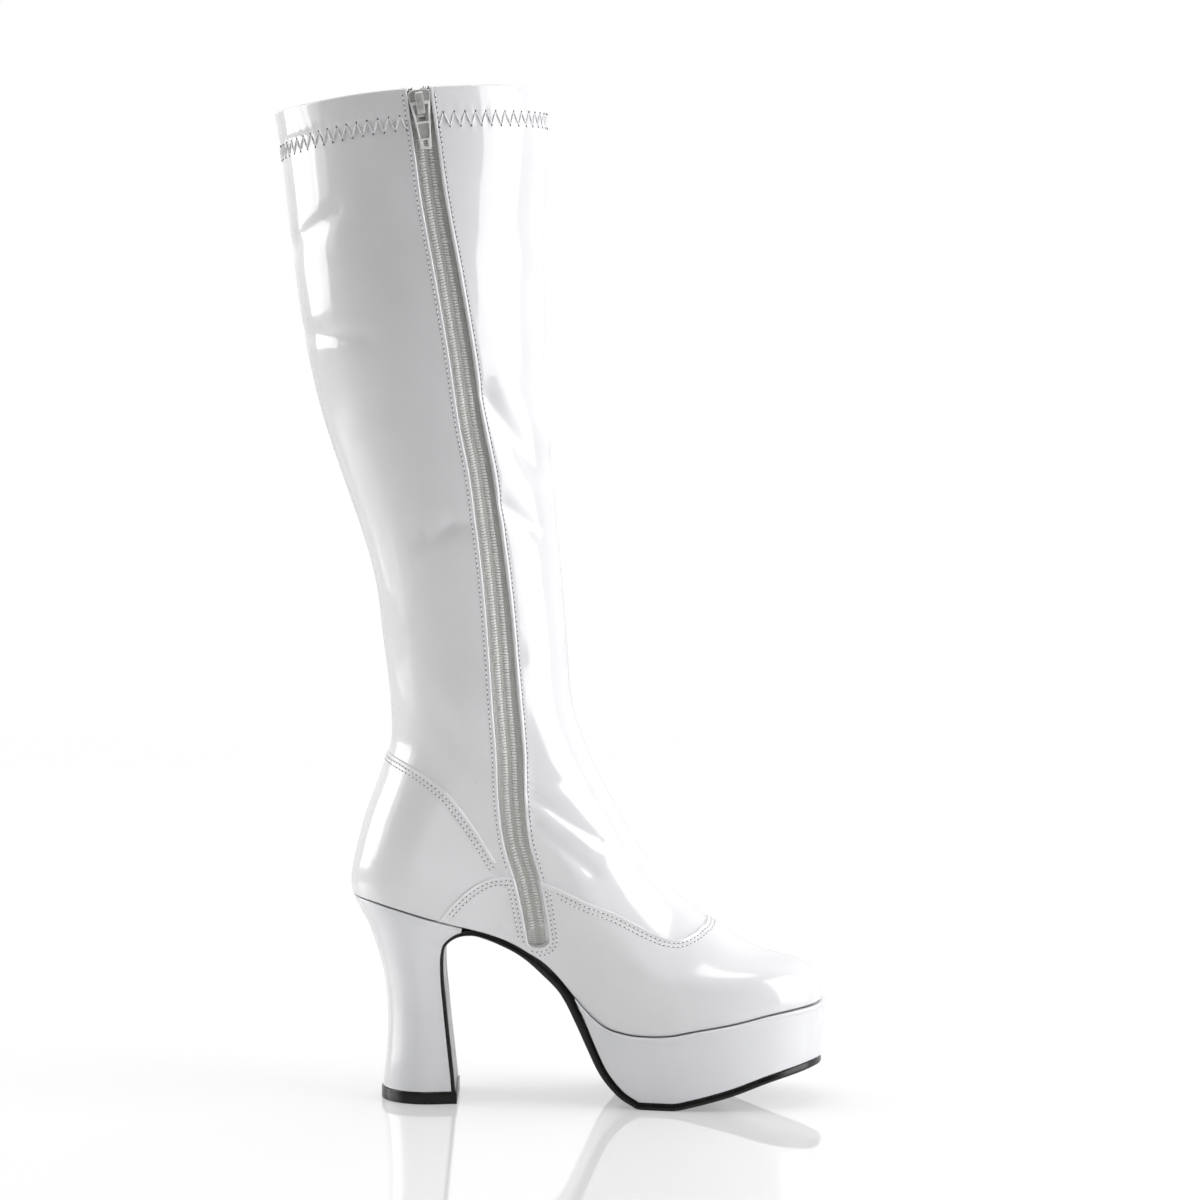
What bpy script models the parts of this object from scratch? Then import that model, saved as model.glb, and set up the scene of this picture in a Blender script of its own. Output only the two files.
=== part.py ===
"""A left knee-high platform boot in white patent, with a zip down its inner side.

Metres. The origin is the middle of the heel lift's ground face. +X runs to the toe, +Z up,
and -Y is the inner (medial) side of the foot, which carries the zip.
"""

import math

import bmesh
import bpy
import numpy as np
from mathutils import Matrix

# Foot: lengths, widths and heights of the form that the boot is pulled over
LAST_LENGTH = 0.2227
HEEL_CURVE = 0.0310  # how far the last's back lies behind the origin
HEEL_HEIGHT = 0.0988  # floor to the seat, at the back
BALL_HEIGHT = 0.0353  # floor to the last, under the ball
TOE_HEIGHT = 0.0483  # floor to the last, at the toe tip
SEAT_WIDTH = 0.0600
WAIST_WIDTH = 0.0600
BALL_WIDTH = 0.0820

# Shaft
ANKLE_HEIGHT = 0.1960  # floor to the middle of the narrowest ring
ANKLE_PLACE = 0.0299  # that ring's middle, ahead of the origin
ANKLE_DEPTH = 0.0888
ANKLE_WIDTH = 0.0700
SHAFT_LENGTH = 0.2780
COLLAR_DEPTH = 0.1262
COLLAR_WIDTH = 0.1010

# Walls
WALL = 0.0018
OVERLAY = 0.0009  # how far the counter and vamp stand out of the shaft's sheet
GAP = 0.0003  # between solids that touch
SEAT_GAP = 0.0005  # the same, measured upright, under the last's sloping floor line

# Sole and heel
SOLE_THICKNESS = 0.0032
SOLE_TOE_SPRING = 0.0184  # floor to the sole's underside, at the toe
PLATFORM_PROUD = 0.0027  # platform beyond the last at its top edge
SOLE_PROUD = 0.0012  # sole beyond the last, round the forefoot and arch
INSOLE_THICKNESS = 0.0030
INSOLE_CLEARANCE = 0.0015
HEEL_BASE_WIDTH = 0.0436
HEEL_TOP_WIDTH = 0.0578
LIFT_THICKNESS = 0.0058
LIFT_PROUD = 0.0007

# Zip
SLOT_WIDTH = 0.0104
ZIP_BOTTOM = 0.0762  # floor to the slot's lower end
TAPE_WIDTH = 0.0240
TAPE_THICKNESS = 0.0006
CHAIN_WIDTH = 0.0062
CHAIN_THICKNESS = 0.0013
SLIDER_WIDTH = 0.0106
SLIDER_LENGTH = 0.0126
SLIDER_PLATE = 0.0012
SLIDER_CORNER = 0.0016
SLIDER_DROP = 0.0066  # collar edge to the slider's middle
TAPE_CLEARANCE = 0.0004  # wall's inner face to the tape
TAPE_DROP = 0.0010  # collar edge to the tape's upper end
BRIDGE_WIDTH = 0.0030
BRIDGE_STRIP = 0.0009
PULL_PIN = 0.0013  # the pull's cross bar, which turns under the bridge
PIN_CLEARANCE = 0.0004
PULL_LENGTH = 0.0220
PULL_TOP_WIDTH = 0.0088
PULL_END_WIDTH = 0.0048
PULL_THICKNESS = 0.0011
PULL_CORNER = 0.0008
WINDOW_CLEARANCE = 0.0007  # bridge to the side of the pull's upper window
WINDOW_CORNER = 0.0007
GRIP_WINDOW_WIDTH = 0.0024
GRIP_WINDOW_LENGTH = 0.0085

# Faces of the tape and the chain, from the shaft's outer face, and heights over the slider
TAPE_FACE = -(WALL + TAPE_CLEARANCE)
CHAIN_FACE = TAPE_FACE + GAP + CHAIN_THICKNESS
BRIDGE_RISE = PULL_PIN + 2 * PIN_CLEARANCE + BRIDGE_STRIP
PIN_HEIGHT = PIN_CLEARANCE + PULL_PIN / 2

# Shares of a form's own size
SEAT_SHARE, WAIST_SHARE, BALL_SHARE = 0.15, 0.42, 0.72  # where a ring has its half widths
TIP_SHARE = 0.05  # stretch at the toe over which an outline takes up its proud edge
HEEL_ROUND_SHARE = 0.62  # part of the heel's length that its rounded back takes
HEEL_FRONT_SHARE = 0.93  # breast width against the heel's greatest width
SLIDER_WAIST_SHARE = 0.78  # slider's lower width against its upper
BRIDGE_REACH_SHARE = 0.42  # half the bridge's length against the slider's
BRIDGE_SQUARE_SHARE = 0.55  # power of its arch: 1 is an ellipse, 0 a box
EVEN_SHARE = 0.15  # how much closer the columns stand at the boot's sides than at its ends

# How finely the solids are faceted
AROUND = 60
ROWS_BELOW_SEAM = 8
ROWS_ABOVE_SEAM = 20
SOLE_STATIONS = 32
HEEL_STATIONS = 12
ZIP_STATIONS = 26
SLOT_END_STEPS = 8
ARCH_STEPS = 12
CORNER_STEPS = 4

# Floor line of the last: along the last, share of the heel's rise, share of the toe's rise
FEATHER = np.array(
    [
        (0.000, 1.000, 0.000),
        (0.049, 0.970, 0.000),
        (0.108, 0.915, 0.000),
        (0.162, 0.858, 0.000),
        (0.211, 0.814, 0.000),
        (0.256, 0.776, 0.000),
        (0.296, 0.736, 0.000),
        (0.337, 0.679, 0.000),
        (0.377, 0.598, 0.000),
        (0.409, 0.524, 0.000),
        (0.440, 0.420, 0.000),
        (0.472, 0.287, 0.000),
        (0.503, 0.161, 0.000),
        (0.539, 0.058, 0.000),
        (0.579, 0.014, 0.000),
        (0.633, 0.000, 0.000),
        (0.678, 0.000, 0.055),
        (0.723, 0.000, 0.215),
        (0.808, 0.000, 0.477),
        (0.894, 0.000, 0.790),
        (0.948, 0.000, 0.915),
        (1.000, 0.000, 1.000),
    ]
)

# Rings of the foot, from the floor line up. Ends: back and front along the last, and up from
# its floor line to the ankle. Follow: how much of the floor line's bend the ring keeps.
# Widths are shares of the seat, waist and ball, and rounds are shares of the ring's length.
FOOT = np.array(
    [
        # back, back_up, front, front_up, follow, seat, waist, ball, back_round, front_round
        (0.0000, 0.000, 1.0000, 0.000, 1.00, 0.92, 0.90, 0.975, 0.140, 0.270),
        (-0.0027, 0.074, 1.0000, 0.038, 1.00, 0.97, 0.93, 1.000, 0.140, 0.275),
        (0.0036, 0.155, 0.9834, 0.096, 0.95, 1.00, 0.97, 1.000, 0.145, 0.290),
        (0.0139, 0.244, 0.9385, 0.134, 0.90, 1.02, 1.00, 0.975, 0.150, 0.310),
        (0.0305, 0.368, 0.8554, 0.177, 0.80, 1.02, 1.03, 0.890, 0.160, 0.360),
        (0.0521, 0.488, 0.7499, 0.287, 0.65, 1.02, 1.05, 0.800, 0.190, 0.400),
        (0.0692, 0.590, 0.6803, 0.385, 0.50, 1.03, 1.08, 0.755, 0.240, 0.430),
        (0.0813, 0.686, 0.6138, 0.519, 0.35, 1.06, 1.11, 0.755, 0.310, 0.455),
        (0.0826, 0.784, 0.5627, 0.664, 0.20, 1.09, 1.13, 0.780, 0.380, 0.475),
        (0.0795, 0.892, 0.5155, 0.811, 0.10, 1.12, 1.15, 0.805, 0.440, 0.490),
    ]
)

# Rings of the shaft, from the ankle up: height in the shaft, lean forward in shares of the
# collar's depth, share of the way from the ankle's depth and width to the collar's, and, again
# in the collar's depth, how much higher the front is than the back and the sides than both.
SHAFT = np.array(
    [
        # up, lean, depth, width, tilt, crown
        (0.000, 0.000, 0.000, 0.000, -0.150, 0.000),
        (0.081, -0.021, -0.008, 0.030, -0.103, 0.000),
        (0.187, -0.046, 0.040, 0.160, -0.079, 0.000),
        (0.320, -0.103, 0.249, 0.390, -0.061, 0.000),
        (0.473, -0.170, 0.508, 0.645, -0.024, 0.000),
        (0.633, -0.213, 0.695, 0.870, 0.000, 0.000),
        (0.817, -0.237, 0.866, 0.970, 0.026, 0.000),
        (0.941, -0.246, 1.000, 1.000, 0.057, 0.010),
        (1.000, -0.265, 1.000, 1.000, 0.095, 0.028),
    ]
)

# Sideways curve of the last's middle: along the last, share of the ball width to the outside
SWING = np.array([(0.00, 0.000), (0.40, 0.018), (0.70, 0.018), (0.90, -0.020), (1.00, -0.048)])

# Upper edges of the counter and the vamp seen from the side: along the last, and up from the
# ball to the ankle
COUNTER_SEAM = np.array(
    [
        (0.074, 0.820),
        (0.113, 0.799),
        (0.163, 0.762),
        (0.208, 0.713),
        (0.256, 0.627),
        (0.304, 0.520),
        (0.350, 0.412),
    ]
)
VAMP_SEAM = np.array(
    [
        (0.182, 0.330),
        (0.214, 0.385),
        (0.256, 0.437),
        (0.297, 0.465),
        (0.344, 0.466),
        (0.406, 0.451),
        (0.505, 0.391),
        (0.565, 0.356),
        (0.625, 0.310),
        (0.670, 0.282),
        (0.694, 0.277),
        (0.719, 0.286),
        (0.740, 0.302),
        (0.761, 0.338),
        (0.767, 0.380),
    ]
)

# Underside of the sole, from the toe tip to the foot of the heel's breast: along the last,
# share of the heel height, share of the sole's toe spring, share of the sole's thickness
SOLE = np.array(
    [
        (1.000, 0.000, 1.000, 0.85),
        (0.969, 0.000, 0.950, 1.00),
        (0.885, 0.000, 0.706, 1.00),
        (0.804, 0.000, 0.374, 1.00),
        (0.725, 0.000, 0.110, 1.00),
        (0.680, 0.000, 0.000, 1.00),
        (0.615, 0.000, 0.000, 1.00),
        (0.595, 0.016, 0.000, 1.00),
        (0.564, 0.062, 0.000, 1.05),
        (0.528, 0.158, 0.000, 1.15),
        (0.499, 0.291, 0.000, 1.20),
        (0.478, 0.395, 0.000, 1.30),
        (0.445, 0.540, 0.000, 1.45),
        (0.402, 0.644, 0.000, 1.45),
        (0.361, 0.724, 0.000, 1.10),
        (0.318, 0.778, 0.000, 0.95),
        (0.275, 0.817, 0.000, 0.80),
        (0.251, 0.826, 0.000, 0.62),
        (0.227, 0.818, 0.000, 0.42),
        (0.206, 0.785, 0.000, 0.40),
        (0.196, 0.734, 0.000, 0.42),
        (0.196, 0.607, 0.000, 0.45),
        (0.201, 0.486, 0.000, 0.50),
        (0.206, 0.364, 0.000, 0.50),
        (0.2155, 0.162, 0.000, 0.50),
        (0.2195, 0.0618, 0.000, 0.50),
    ]
)
PLATFORM_REAR = 11.7  # row of SOLE where the platform's rear corner lies
HEEL_TIP = 17.6  # row of SOLE where the heel's front tip runs out
BREAST_ROWS = 2.5  # rows over which the sole narrows to the heel's breast

# Rings of the heel, from the lift up: row of SOLE that its front lies on, back along the last,
# back up the heel height, share of the way from the base width to the top width, and how much
# of the last's floor line the ring follows
HEEL = np.array(
    [
        # sole_row, back, back_up, width, follow
        (25.00, 0.061, 0.0618, 0.00, 0.0),
        (24.50, 0.066, 0.153, -0.09, 0.0),
        (24.00, 0.070, 0.263, -0.15, 0.0),
        (23.00, 0.072, 0.381, -0.18, 0.0),
        (22.00, 0.070, 0.500, -0.14, 0.0),
        (21.00, 0.062, 0.630, 0.00, 0.1),
        (20.00, 0.047, 0.749, 0.28, 0.2),
        (19.40, 0.031, 0.849, 0.58, 0.4),
        (18.80, 0.016, 0.915, 0.80, 0.6),
        (18.10, 0.007, 0.957, 0.93, 0.8),
    ]
)

# The zip's middle line seen from the side: up from its lower end to the collar, along the last
ZIP_LINE = np.array(
    [
        (0.000, 0.4005),
        (0.045, 0.3880),
        (0.078, 0.3759),
        (0.120, 0.3540),
        (0.171, 0.3422),
        (0.229, 0.3381),
        (0.300, 0.3282),
        (0.354, 0.3211),
        (0.447, 0.3058),
        (0.506, 0.2923),
        (0.565, 0.2775),
        (0.608, 0.2622),
        (0.701, 0.2375),
        (0.786, 0.2120),
        (0.880, 0.1819),
        (0.937, 0.1684),
        (1.000, 0.1527),
    ]
)


def smooth(rows, at):
    """The later columns of a table on a smooth curve, at places on its first column."""
    at = np.asarray(at, float)
    places, values = rows[:, 0], rows[:, 1:]
    slopes = np.gradient(values, places, axis=0)
    inside = np.clip(at, places[0], places[-1])
    left = np.clip(np.searchsorted(places, inside, side="right") - 1, 0, len(places) - 2)
    span = (places[left + 1] - places[left])[..., None]
    t = (inside - places[left])[..., None] / span
    value = (
        (2 * t**3 - 3 * t**2 + 1) * values[left]
        + (t**3 - 2 * t**2 + t) * span * slopes[left]
        + (3 * t**2 - 2 * t**3) * values[left + 1]
        + (t**3 - t**2) * span * slopes[left + 1]
    )
    nearest = np.where((t < 0.5), slopes[left], slopes[left + 1])
    return value + (at - inside)[..., None] * nearest


def along(share):
    return share * LAST_LENGTH - HEEL_CURVE


def along_share(x):
    return (x + HEEL_CURVE) / LAST_LENGTH


def feather(x):
    """Height of the last's floor line."""
    heel, toe = np.moveaxis(smooth(FEATHER, along_share(x)), -1, 0)
    return BALL_HEIGHT + heel * (HEEL_HEIGHT - BALL_HEIGHT) + toe * (TOE_HEIGHT - BALL_HEIGHT)


def ring_table():
    """Rows of metres: back x and z, front x and z, follow, crown, half widths, two rounds."""
    up, lean, depth, width, tilt, crown = SHAFT.T
    middle = ANKLE_PLACE + lean * COLLAR_DEPTH
    half_depth = (ANKLE_DEPTH + depth * (COLLAR_DEPTH - ANKLE_DEPTH)) / 2
    half_width = (ANKLE_WIDTH + width * (COLLAR_WIDTH - ANKLE_WIDTH)) / 2
    height = ANKLE_HEIGHT + up * SHAFT_LENGTH
    half_tilt = tilt * COLLAR_DEPTH / 2
    even = np.ones(len(SHAFT))
    shaft = np.column_stack(
        [
            middle - half_depth,
            height - half_tilt,
            middle + half_depth,
            height + half_tilt,
            0 * even,
            crown * COLLAR_DEPTH,
            half_width,
            half_width,
            half_width,
            even / 2,
            even / 2,
        ]
    )
    back, back_up, front, front_up, follow, seat, waist, ball, back_round, front_round = FOOT.T
    foot = np.column_stack(
        [
            along(back),
            HEEL_HEIGHT + back_up * (shaft[0, 1] - HEEL_HEIGHT),
            along(front),
            TOE_HEIGHT + front_up * (shaft[0, 3] - TOE_HEIGHT),
            follow,
            0 * follow,
            seat * SEAT_WIDTH / 2,
            waist * WAIST_WIDTH / 2,
            ball * BALL_WIDTH / 2,
            back_round,
            front_round,
        ]
    )
    rings = np.vstack([foot, shaft])
    return np.column_stack([np.linspace(0, 1, len(rings)), rings])


RINGS = ring_table()


def ease(t):
    t = np.clip(t, 0, 1)
    return t * t * (3 - 2 * t)


def round_end(t):
    """A quarter circle from 0 to 1."""
    return np.sqrt(np.maximum(1 - (1 - np.clip(t, 0, 1)) ** 2, 0))


def ring_at(level, share):
    """x, z, half width and sideways shift of the ring at a level, at a share of its length."""
    row = np.moveaxis(smooth(RINGS, level), -1, 0)
    back_x, back_z, front_x, front_z, follow, crown = row[:6]
    seat, waist, ball, back_round, front_round = row[6:]
    x = back_x + (front_x - back_x) * share
    bend = feather(x) - feather(back_x) * (1 - share) - feather(front_x) * share
    z = back_z + (front_z - back_z) * share + follow * bend + crown * 4 * share * (1 - share)
    half = seat + (waist - seat) * ease((share - SEAT_SHARE) / (WAIST_SHARE - SEAT_SHARE))
    half = half + (ball - waist) * ease((share - WAIST_SHARE) / (BALL_SHARE - WAIST_SHARE))
    half = half * round_end(share / back_round) * round_end((1 - share) / front_round)
    shift = follow * BALL_WIDTH * smooth(SWING, along_share(x))[..., 0]
    return x, z, half, shift


def surface(level, turn):
    """Points of the shaft's outer face. Turn 0 is the back, pi the front, past pi the inner side."""
    share = (1 - np.cos(turn)) / 2
    x, z, half, shift = ring_at(level, share)
    y = np.where(np.sin(turn) >= 0, half, -half) + shift
    return np.stack([x, y, z], axis=-1)


def shell(level, turn, out):
    """Points that lie a distance out from the shaft's outer face, along its normal."""
    step = 1e-4
    level, turn = np.broadcast_arrays(level, turn)
    rise = surface(np.minimum(level + step, 1), turn) - surface(np.maximum(level - step, 0), turn)
    sweep = surface(level, turn + step) - surface(level, turn - step)
    normal = np.cross(rise, sweep)
    normal /= np.linalg.norm(normal, axis=-1, keepdims=True)
    return surface(level, turn) + normal * np.asarray(out)[..., None]


def seam_height(x):
    """Height of the higher of the counter's and the vamp's edges, seen from the side."""
    share = along_share(x)
    counter = smooth(COUNTER_SEAM, share)[..., 0]
    vamp = smooth(VAMP_SEAM, share)[..., 0]
    return BALL_HEIGHT + np.maximum(counter, vamp) * (ANKLE_HEIGHT - BALL_HEIGHT)


def bisect(above, shape):
    """The level, for each place, where a test turns from false to true."""
    low, high = np.zeros(shape), np.ones(shape)
    for _ in range(40):
        middle = (low + high) / 2
        over = above(middle)
        high = np.where(over, middle, high)
        low = np.where(over, low, middle)
    return (low + high) / 2


def seam_level(turn):
    def above(level):
        points = surface(level, turn)
        return points[..., 2] > seam_height(points[..., 0])

    return bisect(above, turn.shape)


def inner_side(x, z):
    """Level and turn of the points of the inner side that are seen at x and z."""

    def share(level):
        ends = smooth(RINGS, level)
        return np.clip((x - ends[..., 0]) / (ends[..., 2] - ends[..., 0]), 0, 1)

    level = bisect(lambda level: ring_at(level, share(level))[1] > z, x.shape)
    return level, 2 * math.pi - np.arccos(1 - 2 * share(level))


def material(name, colour, roughness, metallic=0.0, coat=0.0):
    made = bpy.data.materials.new(name)
    made.use_nodes = True
    shader = made.node_tree.nodes["Principled BSDF"]
    shader.inputs["Base Color"].default_value = (*colour, 1)
    shader.inputs["Roughness"].default_value = roughness
    shader.inputs["Metallic"].default_value = metallic
    shader.inputs["Coat Weight"].default_value = coat
    return made


def finished(name, mesh, made_of=None, sharp=35):
    """A new object from a bmesh: welded, facing out, and smooth but for its sharp edges."""
    bmesh.ops.remove_doubles(mesh, verts=mesh.verts, dist=1e-7)
    bmesh.ops.recalc_face_normals(mesh, faces=mesh.faces)
    data = bpy.data.meshes.new(name)
    mesh.to_mesh(data)
    mesh.free()
    data.shade_smooth()
    data.set_sharp_from_angle(angle=math.radians(sharp))
    if made_of:
        data.materials.append(made_of)
    piece = bpy.data.objects.new(name, data)
    bpy.context.collection.objects.link(piece)
    return piece


def sheet(mesh, points, close_rows=False, close_columns=False):
    """Faces through a grid of points; a closed direction joins its last line to its first."""
    rows, columns = points.shape[:2]
    verts = [[mesh.verts.new(point) for point in line] for line in points]
    for i in range(rows if close_rows else rows - 1):
        for j in range(columns if close_columns else columns - 1):
            k, n = (i + 1) % rows, (j + 1) % columns
            mesh.faces.new([verts[i][j], verts[i][n], verts[k][n], verts[k][j]])
    return verts


def plate(name, front, back, made_of):
    """A thin solid between two grids of points of the same shape."""
    mesh = bmesh.new()
    a = sheet(mesh, front)
    b = sheet(mesh, back)
    rims = [
        ([line[0] for line in a], [line[0] for line in b]),
        ([line[-1] for line in a], [line[-1] for line in b]),
        (a[0], b[0]),
        (a[-1], b[-1]),
    ]
    for one, other in rims:
        for i in range(len(one) - 1):
            mesh.faces.new([one[i], one[i + 1], other[i + 1], other[i]])
    return finished(name, mesh, made_of)


def stack(name, levels, made_of):
    """A solid through levels, from the bottom up. Each holds its inner and its outer side's points,
    station by station from one end to the other. Its first and last faces run straight across."""
    mesh = bmesh.new()
    sides = [sheet(mesh, np.stack([level[side] for level in levels])) for side in (0, 1)]
    inner, outer = sides
    for end in (0, -1):
        for i in range(len(levels) - 1):
            ring = [inner[i][end], outer[i][end], outer[i + 1][end], inner[i + 1][end]]
            mesh.faces.new(ring)
    for level in (0, -1):
        for j in range(len(inner[0]) - 1):
            ring = [inner[level][j], inner[level][j + 1], outer[level][j + 1], outer[level][j]]
            mesh.faces.new(ring)
    return finished(name, mesh, made_of)


def sole_point(row, lift=0.0):
    """Points of the sole's line seen from the side, lifted off its underside by shares of its
    thickness, plus the gap where lift is over 1."""
    rows = np.column_stack([np.arange(len(SOLE)), SOLE])
    row = np.asarray(row, float)

    def line(at):
        share, heel, toe, _ = np.moveaxis(smooth(rows, at), -1, 0)
        x = along(share) + toe * SOLE_PROUD
        height = heel * HEEL_HEIGHT + toe * SOLE_TOE_SPRING
        return np.stack([x, np.maximum(height, 0)], axis=-1)

    step = 1e-3
    last = len(SOLE) - 1
    run = line(np.minimum(row + step, last)) - line(np.maximum(row - step, 0))
    run /= np.linalg.norm(run, axis=-1, keepdims=True)
    inward = np.stack([run[..., 1], -run[..., 0]], axis=-1)
    thickness = smooth(rows, row)[..., 3] * SOLE_THICKNESS * min(lift, 1)
    if lift > 1:
        thickness = thickness + GAP
    return line(row) + inward * thickness[..., None]


def under_last(points):
    """Side points kept below the last's floor line by the gap."""
    held = points.copy()
    held[..., 1] = np.minimum(points[..., 1], feather(points[..., 0]) - SEAT_GAP)
    return held


def across(side_points):
    """Inner and outer edge points, round the last's floor outline, for side points up to its toe.
    The outline is widened by as much as the points pass the last's own tip."""
    x, z = side_points[..., 0], side_points[..., 1]
    proud = x.max() - along(1)
    back = along(0) - proud
    share = np.clip((x - back) / (x.max() - back), 0, 1)
    _, _, half, shift = ring_at(0.0, share)
    half = half + proud * round_end((1 - share) / TIP_SHARE)
    return [np.stack([x, shift + way * half, z], axis=-1) for way in (-1, 1)]


def turns_around(first, last, count):
    """Turns from one to another, closer together at the sides, where a ring's x runs fastest."""
    turn = np.linspace(first, last, count)
    return turn + EVEN_SHARE * np.sin(2 * turn)


def make_upper(patent):
    turn = turns_around(0, 2 * math.pi, AROUND + 1)[:-1]
    seam = seam_level(turn)
    below = np.linspace(0, 1, ROWS_BELOW_SEAM + 1)[:, None]
    above = np.linspace(0, 1, ROWS_ABOVE_SEAM + 1)[:, None]
    foot = below * seam
    shaft = seam + above * (1 - seam)
    covered = shell(foot, turn, OVERLAY)
    outer = np.vstack([covered, shell(shaft, turn, 0)])
    inner = shell(np.vstack([foot, shaft[1:]]), turn, -WALL)
    for bottom in (outer[0], inner[0]):
        bottom[:, 2] = feather(bottom[:, 0])
    mesh = bmesh.new()
    sheet(mesh, np.vstack([outer, inner[::-1]]), close_rows=True, close_columns=True)
    upper = finished("upper", mesh, patent)
    cutter = make_slot_cutter()
    cut = upper.modifiers.new("zip slot", "BOOLEAN")
    cut.operation = "DIFFERENCE"
    cut.solver = "EXACT"
    cut.object = cutter
    return upper


def zip_height():
    """Height from the slot's lower end to the collar, where the zip's middle line meets it."""
    back_x, back_z, front_x, front_z, _, crown = RINGS[-1, 1:7]
    share = (along(ZIP_LINE[-1, 1]) - back_x) / (front_x - back_x)
    collar = back_z + share * (front_z - back_z) + crown * 4 * share * (1 - share)
    return collar - ZIP_BOTTOM


def zip_point(up):
    """Side x and z of the zip's middle line, from its lower end (0) to the collar (1)."""
    x = along(smooth(ZIP_LINE, up)[..., 0])
    return np.stack([x, ZIP_BOTTOM + np.asarray(up) * zip_height()], axis=-1)


def zip_frame(up):
    """Middle line and the unit vectors up along it and across it, seen from the side."""
    step = 1e-3
    run = zip_point(np.asarray(up) + step) - zip_point(np.asarray(up) - step)
    run /= np.linalg.norm(run, axis=-1, keepdims=True)
    return zip_point(up), run, np.stack([run[..., 1], -run[..., 0]], axis=-1)


def make_slot_cutter():
    """A tall slot with a round lower end that runs in from the inner side, past the wall, and
    out over the collar."""
    half = SLOT_WIDTH / 2
    height = zip_height()
    ups = np.linspace(half / height, 1 + half / height, ZIP_STATIONS)
    middle, run, sideways = zip_frame(ups)
    left = middle - sideways * half
    right = middle + sideways * half
    turns = np.linspace(math.pi, 2 * math.pi, SLOT_END_STEPS + 1)[1:-1, None]
    end = middle[0] + half * (np.cos(turns) * sideways[0] + np.sin(turns) * run[0])
    outline = np.vstack([left[::-1], end, right])
    far, near = -COLLAR_WIDTH, -SLOT_WIDTH
    mesh = bmesh.new()
    rings = [[mesh.verts.new((x, y, z)) for x, z in outline] for y in (far, near)]
    count = len(outline)
    for i in range(count):
        n = (i + 1) % count
        mesh.faces.new([rings[0][i], rings[0][n], rings[1][n], rings[1][i]])
    for ring in rings:
        mesh.faces.new(ring)
    cutter = finished("zip_slot_cutter", mesh)
    cutter.hide_render = True
    cutter.display_type = "WIRE"
    return cutter


def zip_strip(name, ends, width, outer_face, thickness, columns, made_of):
    """A strip along the zip's line between two heights over its lower end, a distance out from
    the shaft's outer face."""
    ups = np.linspace(*ends, ZIP_STATIONS) / zip_height()
    middle, _, sideways = zip_frame(ups)
    offsets = np.linspace(-width / 2, width / 2, columns)
    places = middle[:, None] + sideways[:, None] * offsets[None, :, None]
    level, turn = inner_side(places[..., 0], places[..., 1])
    level = np.minimum(level, 1)
    front = shell(level, turn, outer_face)
    back = shell(level, turn, outer_face - thickness)
    return plate(name, front, back, made_of)


def make_insole(lining):
    turn = turns_around(0, math.pi, AROUND // 2 + 1)
    inset = -(WALL + INSOLE_CLEARANCE)
    levels = []
    for lift in (GAP, GAP + INSOLE_THICKNESS):
        sides = []
        for way in (-1, 1):
            edge = shell(0.0 * turn, way * turn, inset)
            edge[:, 2] = feather(edge[:, 0]) + lift
            sides.append(edge)
        for end in (0, -1):
            middle = (sides[0][end] + sides[1][end]) / 2
            sides[0][end] = sides[1][end] = middle
        levels.append(sides)
    return stack("insole", levels, lining)


def forefoot_rows():
    """Places on the sole's table, from the toe tip to the platform's rear corner, close together
    towards the tip."""
    rows = np.linspace(0, PLATFORM_REAR, 400)
    x = sole_point(rows)[:, 0]
    wanted = x[-1] + (x[0] - x[-1]) * np.sin(np.linspace(math.pi / 2, 0, SOLE_STATIONS))
    return np.interp(-wanted, -x, rows)


def make_platform(cover):
    low = sole_point(forefoot_rows(), 2)
    tip, rear = along(1) + PLATFORM_PROUD, low[-1, 0]
    top_x = rear + (low[:, 0] - rear) * (tip - rear) / (low[0, 0] - rear)
    top_z = feather(top_x) - SEAT_GAP
    levels = [across(low), across(np.stack([top_x, top_z], axis=-1))]
    return stack("platform", levels, cover)


def sole_width(side_points, row):
    """Inner and outer edge points of the sole: the last's outline, then the heel's breast."""
    edges = across(side_points)
    blend = ease((row - HEEL_TIP) / BREAST_ROWS)
    breast = heel_half_width(side_points[:, 1]) * HEEL_FRONT_SHARE
    for edge, way in zip(edges, (-1, 1)):
        edge[:, 1] = edge[:, 1] * (1 - blend) + way * breast * blend
    return edges


def heel_half_width(z):
    """Half width of the heel against height, read from its rings."""
    height = HEEL[:, 2] * HEEL_HEIGHT
    width = HEEL_BASE_WIDTH + HEEL[:, 3] * (HEEL_TOP_WIDTH - HEEL_BASE_WIDTH)
    return smooth(np.column_stack([height, width / 2]), z)[..., 0]


def make_outsole(rubber):
    arch_rows = np.arange(math.ceil(PLATFORM_REAR), len(SOLE) - 0.9, 0.5)
    row = np.concatenate([forefoot_rows(), arch_rows])
    bottom = sole_width(sole_point(row), row)
    top = sole_width(under_last(sole_point(row, 1)), row)
    return stack("outsole", [bottom, top], rubber)


def heel_ring(back, front, half, follow):
    """Inner and outer points of a ring with a round back and a straight breast."""
    share = (1 - np.cos(np.linspace(0, math.pi, HEEL_STATIONS))) / 2
    x = back[0] + (front[0] - back[0]) * share
    bend = feather(x) - feather(back[0]) * (1 - share) - feather(front[0]) * share
    z = back[1] + (front[1] - back[1]) * share + follow * bend
    narrowing = 1 - (1 - HEEL_FRONT_SHARE) * ease((share - HEEL_ROUND_SHARE) / (1 - HEEL_ROUND_SHARE))
    y = half * round_end(share / HEEL_ROUND_SHARE) * narrowing
    return np.stack([x, -y, z], axis=-1), np.stack([x, y, z], axis=-1)


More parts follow.
